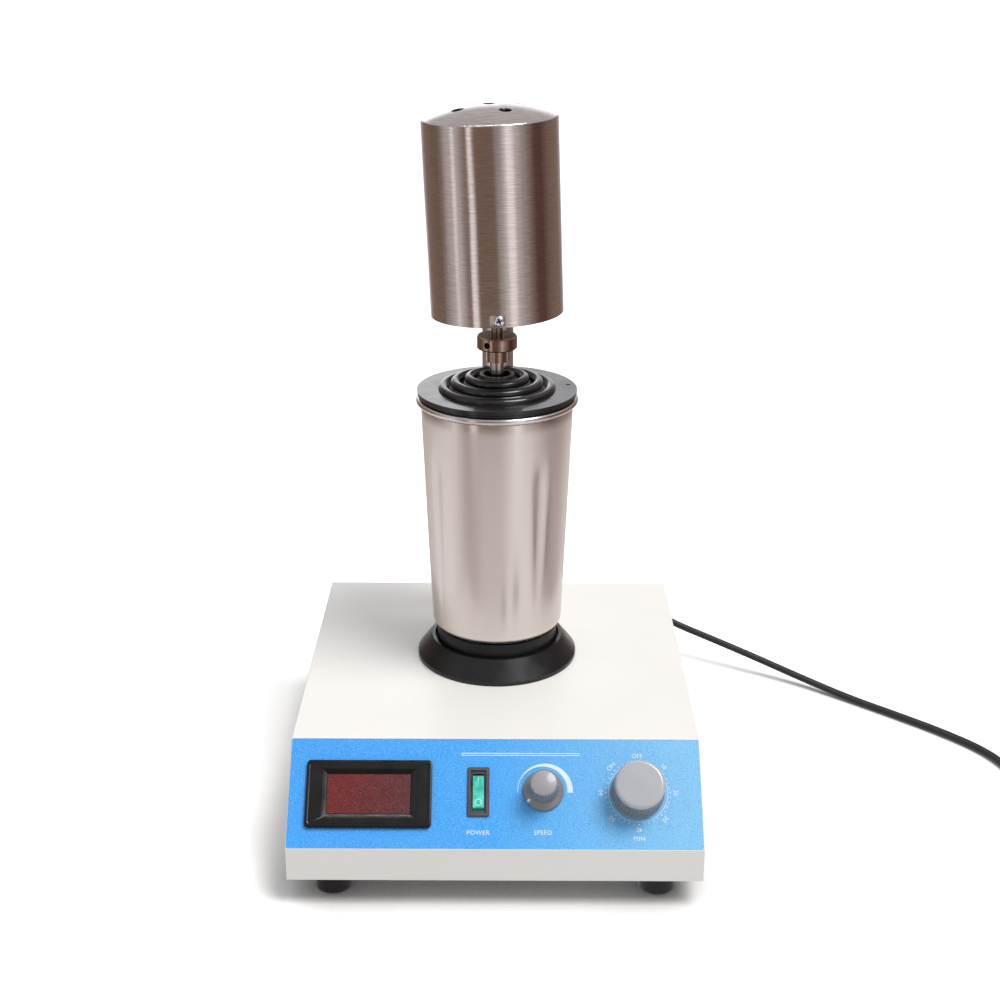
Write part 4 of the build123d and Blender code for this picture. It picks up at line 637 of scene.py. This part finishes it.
def turned(name, profile, place, body, slot_name, finish, flutes=0, count=96, replaced=()):
    """Piece turned from a profile of radius, height and depth of the flutes."""
    mesh = lofted([round_ring(radius, height, count, flutes, depth) for radius, height, depth in profile])
    mesh.transform(place)
    piece_from(name, mesh, body, slot_name, finish, replaced=replaced)


# Knobs: a bell skirt under a fluted cone, and a wide fluted drum
speed_axis = panel_matrix(30.3, 37.0, 0)
timer_axis = panel_matrix(89.5, 36.3, 0)
SPEED_FLUTES = 28
TIMER_FLUTES = 42
POINTS_PER_FLUTE = 10
turned("speed_knob_shell", [
    (12.7, 1.2, 0), (12.9, 1.4, 0), (12.9, 2.3, 0), (12.7, 2.9, 0), (12.0, 3.7, 0), (11.0, 4.5, 0),
    (10.2, 5.2, 0), (9.8, 5.9, 0), (9.65, 6.3, 0.6), (8.85, 18.2, 0.6), (8.4, 18.4, 0), (8.1, 18.6, 0),
    (8.1, 18.9, 0), (8.5, 19.1, 0), (8.55, 19.9, 0), (8.4, 20.25, 0), (8.15, 20.35, 0), (7.95, 20.3, 0),
    (7.9, 20.0, 0),
], speed_axis, "speed_knob", "grey_plastic", "knob_side", flutes=SPEED_FLUTES,
    count=SPEED_FLUTES * POINTS_PER_FLUTE, replaced=["speed_knob"])
turned("speed_knob_cap", [
    (7.8, 19.8, 0), (7.8, 20.3, 0), (7.6, 20.42, 0),
], speed_axis, "speed_knob", "grey_plastic", "small_cap")
POINTER_TURN = 217
POINTER_R = 11.6
POINTER_HEIGHT = 4.05
POINTER_TILT = 38
POINTER_STRETCH = (1.45, 0.95, 1, 1)
pointer_place = (
    speed_axis @ Matrix.Rotation(radians(POINTER_TURN), 4, "Z")
    @ Matrix.Translation((POINTER_R, 0, POINTER_HEIGHT))
    @ Matrix.Rotation(radians(POINTER_TILT), 4, "Y") @ Matrix.Diagonal(POINTER_STRETCH)
)
turned("speed_pointer", [
    (1.0, -0.3, 0), (1.0, 0.12, 0), (0.8, 0.25, 0),
], pointer_place, "speed_knob", "white_paint", "print_white", count=32)
turned("timer_knob_shell", [
    (16.5, 1.2, 0), (16.7, 1.4, 0), (16.7, 2.4, 0), (16.4, 2.7, 0), (16.4, 3.0, 0.7), (15.85, 17.0, 0.7),
    (15.7, 17.4, 0), (15.0, 17.5, 0), (14.5, 17.7, 0), (14.5, 18.0, 0),
], timer_axis, "timer_knob", "grey_plastic", "knob_side", flutes=TIMER_FLUTES,
    count=TIMER_FLUTES * POINTS_PER_FLUTE, replaced=["timer_knob"])
turned("timer_knob_cap", [
    (14.4, 17.9, 0), (15.5, 18.05, 0), (15.7, 18.6, 0), (15.6, 19.4, 0), (15.25, 20.15, 0),
    (14.6, 20.7, 0), (13.8, 20.95, 0), (13.0, 21.0, 0),
], timer_axis, "timer_knob", "grey_plastic", "large_cap", count=128)

# Cover screws: pan heads with a cross recess, and a dark blue cross set in each recess as painted shade
CUP_Y = 30
SCREW_Z = 341.7
SCREW_OUT = 44.2
SCREW_AZIMUTHS = (2.3, 122.3, 242.3)
SCREW_TURN = 22
CROSS_ARM = 2.1
CROSS_HALF = 0.5
CROSS_TAPER = 0.1
RECESS_ARM = CROSS_ARM - 0.15
RECESS_HALF = CROSS_HALF - 0.08
corner = atan2(CROSS_HALF, CROSS_ARM)
step_in = (pi / 4 - corner) / 3
eighth = [0, corner / 2, corner, corner + step_in, corner + 2 * step_in]
quarter = eighth + [pi / 4] + [pi / 2 - turn for turn in reversed(eighth[1:])]
screw_turns = [side * pi / 2 + turn for side in range(4) for turn in quarter]


def screw_ring(radius, height):
    return [(radius * cos(turn), radius * sin(turn), height) for turn in screw_turns]


def cross_ring(arm, half, height):
    """Outline of a cross, taken at the same turns as the round rings."""
    points = []
    for turn in screw_turns:
        run, rise = max(abs(cos(turn)), 1e-9), max(abs(sin(turn)), 1e-9)
        reach = max(min(arm / run, half / rise), min(arm / rise, half / run))
        points.append((reach * cos(turn), reach * sin(turn), height))
    return points


screw_heads = []
cross_shades = []
for azimuth in SCREW_AZIMUTHS:
    angle = radians(azimuth)
    way = Vector((sin(angle), -cos(angle), 0))
    tangent = Vector((cos(angle), sin(angle), 0))
    basis = Matrix((tangent, Vector((0, 0, 1)), way)).transposed().to_4x4()
    seat = Vector((0, CUP_Y, SCREW_Z)) + way * SCREW_OUT
    place = MILLIMETRES @ Matrix.Translation(seat) @ basis @ Matrix.Rotation(radians(SCREW_TURN), 4, "Z")
    head = lofted([
        screw_ring(2.0, -9.8), screw_ring(2.0, 0), screw_ring(3.4, 0), screw_ring(3.4, 0.7),
        screw_ring(3.2, 1.3), screw_ring(2.75, 1.8), screw_ring(2.45, 2.05),
        cross_ring(CROSS_ARM, CROSS_HALF, 2.2),
        cross_ring(CROSS_ARM - CROSS_TAPER, CROSS_HALF - CROSS_TAPER / 2, 1.0),
    ])
    head.transform(place)
    screw_heads.append(head)
    # Painted shade: a dark blue cross sits inside each cross recess
    recess = lofted([cross_ring(RECESS_ARM, RECESS_HALF, height) for height in (0.9, 1.9)])
    recess.transform(place)
    cross_shades.append(recess)
piece_from(
    "cover_pan_screws", joined("cover_pan_screws", screw_heads), "head", "zinc_screw", "zinc_screw",
    replaced=["cover_screws"],
)
piece_from(
    "cover_screw_cross_shade", joined("cover_screw_cross_shade", cross_shades), "head", "zinc_screw",
    "painted_recess_shade", smooth=False,
)

# Cup: drawn shell with a rolled rim and four soft flutes
CUP_Z = 114
CUP_RIM_Z = 279.6
CUP_BASE_R = 44.8
CUP_RIM_R = 51.2
CUP_WALL = 1.0
CUP_CORNER_R = 6.5
CORNER_STEPS = 8
CUP_BEAD_R = 2.1
CUP_BEAD_Z = CUP_RIM_Z - CUP_BEAD_R
BEAD_FROM = -150
BEAD_TURN = 330
BEAD_STEPS = 14
DIMPLE_R = 25
DIMPLE_H = 3
DIMPLE_SLOPE = 0.6
FLUTE_AZIMUTHS = (36, 126, 216, 306)
FLUTE_TOP = 256
FLUTE_FULL = 226
FLUTE_END = 122
FLUTE_DEPTH = 1.3
FLUTE_HALF_TOP = 8.0
FLUTE_HALF_END = 3.6
CUP_POINTS = 360


def cup_ring(z, radius, pressed=True):
    """One level of the cup; the flutes are pressed in where they reach."""
    share = min(1.0, max(0.0, (z - FLUTE_END) / (FLUTE_FULL - FLUTE_END)))
    depth = FLUTE_DEPTH * share * (1 - eased(z, FLUTE_FULL, FLUTE_TOP)) if pressed else 0
    half = FLUTE_HALF_END + (FLUTE_HALF_TOP - FLUTE_HALF_END) * share
    points = []
    for index in range(CUP_POINTS):
        angle = 2 * pi * index / CUP_POINTS
        reach = radius
        for azimuth in FLUTE_AZIMUTHS:
            off = (angle - radians(azimuth - 90) + pi) % (2 * pi) - pi
            across = abs(off) * radius / half
            if across < 1:
                reach -= depth * (0.5 + 0.5 * cos(pi * across))
        points.append((reach * cos(angle), CUP_Y + reach * sin(angle), z))
    return points


def cup_side_r(z):
    return CUP_BASE_R + (CUP_RIM_R - CUP_BASE_R) * (z - CUP_Z) / (CUP_BEAD_Z - CUP_Z)


def corner_rings(inset, start, end):
    """Rounded corner between the bottom and the wall."""
    radius = CUP_CORNER_R - inset
    middle_z = CUP_Z + CUP_CORNER_R
    middle_r = cup_side_r(middle_z) - CUP_CORNER_R
    rings = []
    for step in range(CORNER_STEPS + 1):
        angle = radians(start + (end - start) * step / CORNER_STEPS)
        rings.append(cup_ring(middle_z + radius * sin(angle), middle_r + radius * cos(angle), False))
    return rings


def wall_rings(inset, levels):
    return [cup_ring(z, cup_side_r(z) - inset) for z in levels]


def rim_rings():
    """Rolled bead round the mouth."""
    middle_r = CUP_RIM_R - CUP_WALL + CUP_BEAD_R
    rings = []
    for step in range(BEAD_STEPS + 1):
        angle = radians(BEAD_FROM + BEAD_TURN * step / BEAD_STEPS)
        radius = middle_r + CUP_BEAD_R * cos(angle)
        rings.append(cup_ring(CUP_BEAD_Z + CUP_BEAD_R * sin(angle), radius, False))
    return rings


# Levels of the wall, closer near the top of the flutes
rising = [123 + 3 * step for step in range(39)] + [239 + 1.5 * step for step in range(10)] + [258, 266, 272]
floor_z = CUP_Z + CUP_WALL
cup_mesh = lofted(
    [cup_ring(CUP_Z + DIMPLE_H, 1, False), cup_ring(CUP_Z + DIMPLE_H, DIMPLE_R - DIMPLE_SLOPE, False)]
    + [cup_ring(CUP_Z, DIMPLE_R, False)] + corner_rings(0, -90, 0) + wall_rings(0, rising) + rim_rings()
    + wall_rings(CUP_WALL, reversed(rising)) + corner_rings(CUP_WALL, 0, -90)
    + [cup_ring(floor_z, DIMPLE_R + CUP_WALL + DIMPLE_SLOPE, False)]
    + [cup_ring(floor_z + DIMPLE_H, DIMPLE_R + CUP_WALL, False), cup_ring(floor_z + DIMPLE_H, 1, False)]
)
cup_mesh.transform(MILLIMETRES)
piece_from("cup_shell", cup_mesh, "cup", "stainless", "cup_steel", replaced=["cup"])

# Crimped seam under the rim of the cup, and the small mark on the lid
SEAM_R = 51.35
SEAM_Z = 275.0
SEAM_TWISTS = 110
SEAM_STEPS = 6
SEAM_SIDES = 8
SEAM_THICK = 0.66
SEAM_CRIMP = 0.22
seam_rings = []
for index in range(SEAM_TWISTS * SEAM_STEPS):
    turn = 2 * pi * index / (SEAM_TWISTS * SEAM_STEPS)
    ring = []
    for side in range(SEAM_SIDES):
        around = 2 * pi * side / SEAM_SIDES
        reach = SEAM_THICK + SEAM_CRIMP * cos(2 * around + SEAM_TWISTS * turn)
        out_by = SEAM_R + reach * cos(around)
        ring.append((out_by * cos(turn), CUP_Y + out_by * sin(turn), SEAM_Z + reach * sin(around)))
    seam_rings.append(ring)
seam_mesh = lofted(seam_rings, loop=True)
seam_mesh.transform(MILLIMETRES)
piece_from("cup_seam", seam_mesh, "cup", "stainless", "seam_steel")
LID_MARK = (47.8, CUP_Y + 8.8, 284.5)
mark_place = MILLIMETRES @ Matrix.Translation(LID_MARK) @ Matrix.Diagonal((1.5, 0.7, 1, 1))
turned("lid_mark", [
    (1.0, -0.2, 0), (1.0, 0.2, 0), (0.7, 0.35, 0),
], mark_place, "lid", "black_rubber", "lid_black", count=24)

# World: what lights the object and what it mirrors have their own levels
AMBIENT = 0.46
MIRRORED = 0.50
world = bpy.data.worlds.new("studio")
scene.world = world
world.use_nodes = True
back = world.node_tree.nodes["Background"]
path = wired(world.node_tree, "LightPath", {})
brightness = AMBIENT
for ray, seen_as in (("Is Camera Ray", 1), ("Is Transmission Ray", 1), ("Is Glossy Ray", MIRRORED)):
    brightness = calculated(
        world.node_tree, "MULTIPLY_ADD", path.outputs[ray], seen_as - AMBIENT, brightness,
    )
feed(world.node_tree, back.inputs["Strength"], brightness)
feed(world.node_tree, back.inputs["Color"], (1, 1, 1))

# Tints of the studio round the cup, which only reflections see, by the turn from the front to the right
BACK_LEFT = (2.0, 2.0, 2.05)
BACK_RIGHT = (1.3, 1.28, 1.32)
WALL = (0.50, 0.46, 0.47)
TAN = (0.27, 0.19, 0.155)
BROWN = (0.215, 0.145, 0.11)
DARK = (0.12, 0.06, 0.05)
MID = (0.42, 0.38, 0.37)
SOFT = (0.66, 0.60, 0.59)
BRIGHT = (1.12, 1.06, 1.05)
bands = [
    (-180, BACK_LEFT), (-166, BACK_LEFT), (-152, WALL), (-136, TAN), (-110, BROWN), (-94, BROWN), (-82, MID),
    (-68, SOFT), (-64, BRIGHT), (-60, SOFT), (-50, MID), (-44, TAN), (-38, TAN), (-36, BRIGHT), (-30, BRIGHT),
    (-27, BROWN), (-8, BROWN), (4, BROWN), (13, MID), (22, SOFT), (26, BRIGHT), (32, BRIGHT), (38, SOFT),
    (51, MID), (64, TAN), (76, DARK), (90, DARK), (104, BROWN), (138, TAN), (156, MID), (170, BACK_RIGHT),
    (180, BACK_RIGHT),
]
PALE = (0.98, 0.95, 0.94)
HAZE = (0.77, 0.715, 0.70)
CLAY = (0.60, 0.52, 0.49)
floor_bands = [
    (-180, CLAY), (-160, CLAY), (-130, HAZE), (-100, PALE), (-78, PALE), (-58, HAZE), (-47, CLAY),
    (-34, CLAY), (-20, HAZE), (8, HAZE), (26, PALE), (50, PALE), (70, HAZE), (94, CLAY), (110, CLAY),
    (136, HAZE), (180, HAZE),
]
STUDIO_Y = 0.03
WAVER = 0.28
WAVER_SCALE = 9.0


def studio_tint(tree, around):
    """Band colour at a place round the cup axis, with edges that waver, and the height of the place."""
    spot = wired(tree, "TexCoord", {}).outputs["Object"]
    split = wired(tree, "SeparateXYZ", {"Vector": spot}).outputs
    ahead = calculated(tree, "MULTIPLY", split["Y"], -1.0)
    azimuth = calculated(tree, "ARCTAN2", split["X"], ahead)
    waver = wired(tree, "TexNoise", {"Scale": WAVER_SCALE, "Detail": 2.0, "Vector": spot}).outputs["Fac"]
    swayed = calculated(tree, "MULTIPLY_ADD", waver, WAVER, azimuth)
    bent = calculated(tree, "SUBTRACT", swayed, WAVER / 2)
    share = wired(tree, "MapRange", {"From Min": -pi, "From Max": pi, "Value": bent}).outputs["Result"]
    ramp = wired(tree, "ValToRGB", {"Fac": share})
    stops = ramp.color_ramp.elements
    for angle, _ in around[1:-1]:
        stops.new((angle + 180) / 360)
    for stop, (angle, tint) in zip(stops, around):
        stop.position = (angle + 180) / 360
        stop.color = (*tint, 1)
    return ramp.outputs["Color"], split["Z"]


def stage_material(name):
    material = bpy.data.materials.new(name)
    material.use_nodes = True
    material.node_tree.nodes.clear()
    return material, material.node_tree


def stage_piece(name, mesh, material):
    mesh.materials.append(material)
    piece = bpy.data.objects.new(name, mesh)
    piece.location = (0, STUDIO_Y, 0)
    scene.collection.objects.link(piece)
    return piece


def only_reflected(piece):
    for ray in ("camera", "diffuse", "transmission", "volume_scatter", "shadow"):
        setattr(piece, f"visible_{ray}", False)


# Floor: white to the camera with painted contact shade under and beside the base, a little duller as a
# bounce, and banded where steel mirrors it
FLOOR_HALF = 30.0
FLOOR_SEEN = 1.35
FLOOR_BOUNCE = 0.66
FLOOR_GLOW = 0.05
GLOW_TINT = (0.96, 0.98, 1.0)
CONTACT_SHADE_REACH = 0.04
CONTACT_SHADE_SAMPLES = 4
floor_mesh = bpy.data.meshes.new("floor")
corners = [(x * FLOOR_HALF, y * FLOOR_HALF, 0) for x, y in ((-1, -1), (1, -1), (1, 1), (-1, 1))]
floor_mesh.from_pydata(corners, [], [(0, 1, 2, 3)])
floor_white, tree = stage_material("floor_white")
rays = wired(tree, "LightPath", {}).outputs
bounce = wired(tree, "BsdfDiffuse", {"Color": (FLOOR_BOUNCE,) * 3}).outputs[0]
# Painted contact shade: ambient occlusion darkens the floor the camera sees under and near the object
painted_contact_shade = wired(
    tree, "AmbientOcclusion", {"Color": (FLOOR_SEEN,) * 3, "Distance": CONTACT_SHADE_REACH},
    samples=CONTACT_SHADE_SAMPLES,
)
seen = wired(tree, "BsdfDiffuse", {"Color": painted_contact_shade.outputs["Color"]}).outputs[0]
lift = wired(tree, "Emission", {"Color": GLOW_TINT, "Strength": FLOOR_GLOW}).outputs[0]
seen_lit = wired(tree, "AddShader", {0: seen, 1: lift}).outputs[0]
mirrored = wired(tree, "Emission", {"Color": studio_tint(tree, floor_bands)[0]}).outputs[0]
to_camera = wired(tree, "MixShader", {0: rays["Is Camera Ray"], 1: bounce, 2: seen_lit}).outputs[0]
to_gloss = wired(tree, "MixShader", {0: rays["Is Glossy Ray"], 1: to_camera, 2: mirrored}).outputs[0]
wired(tree, "OutputMaterial", {"Surface": to_gloss})
stage_piece("floor", floor_mesh, floor_white)

# Surround: a banded wall, plainer above, and one long soft lamp overhead
SURROUND_R = 0.85
SURROUND_FROM = 0.002
SURROUND_H = 1.15
PLAIN_FROM = 0.60
PLAIN_TO = 0.80
PLAIN = (0.55, 0.53, 0.53)
surround_mesh = lofted([round_ring(SURROUND_R, z, 128) for z in (SURROUND_FROM, SURROUND_H)], ends=False)
room, tree = stage_material("studio_surround")
tint, height = studio_tint(tree, bands)
rise = wired(tree, "MapRange", {"From Min": PLAIN_FROM, "From Max": PLAIN_TO, "Value": height})
glow = wired(tree, "Emission", {"Color": mixed_color(tree, rise.outputs["Result"], tint, PLAIN)})
wired(tree, "OutputMaterial", {"Surface": glow.outputs[0]})
only_reflected(stage_piece("surround", surround_mesh, room))

LAMP_R = 0.05
LAMP_LONG = 9
LAMP_THICK = 0.01
LAMP_FROM = Vector((0.0, 0.08, 1.0))
LAMP_REACH = 1.4
LAMP_STRENGTH = 12.0
lamp_mesh = lofted([round_ring(LAMP_R, z, 48) for z in (0, LAMP_THICK)])
lamp_mesh.transform(
    Matrix.Translation(LAMP_FROM.normalized() * LAMP_REACH) @ Matrix.Diagonal((LAMP_LONG, 1, 1, 1))
)
lamp_glow, tree = stage_material("lamp_glow")
glow = wired(tree, "Emission", {"Strength": LAMP_STRENGTH})
wired(tree, "OutputMaterial", {"Surface": glow.outputs[0]})
only_reflected(stage_piece("soft_lamp", lamp_mesh, lamp_glow))

SUN_STRENGTH = 2.15
SUN_WIDTH = radians(30)
SUN_COLOR = (1.0, 0.985, 0.965)
SUN_FROM = Vector((0.42, -0.22, 0.89))
sun = bpy.data.objects.new("key", bpy.data.lights.new("key", "SUN"))
sun.data.energy = SUN_STRENGTH
sun.data.angle = SUN_WIDTH
sun.data.color = SUN_COLOR
sun.rotation_mode = "QUATERNION"
sun.rotation_quaternion = SUN_FROM.to_track_quat("Z", "Y")
scene.collection.objects.link(sun)
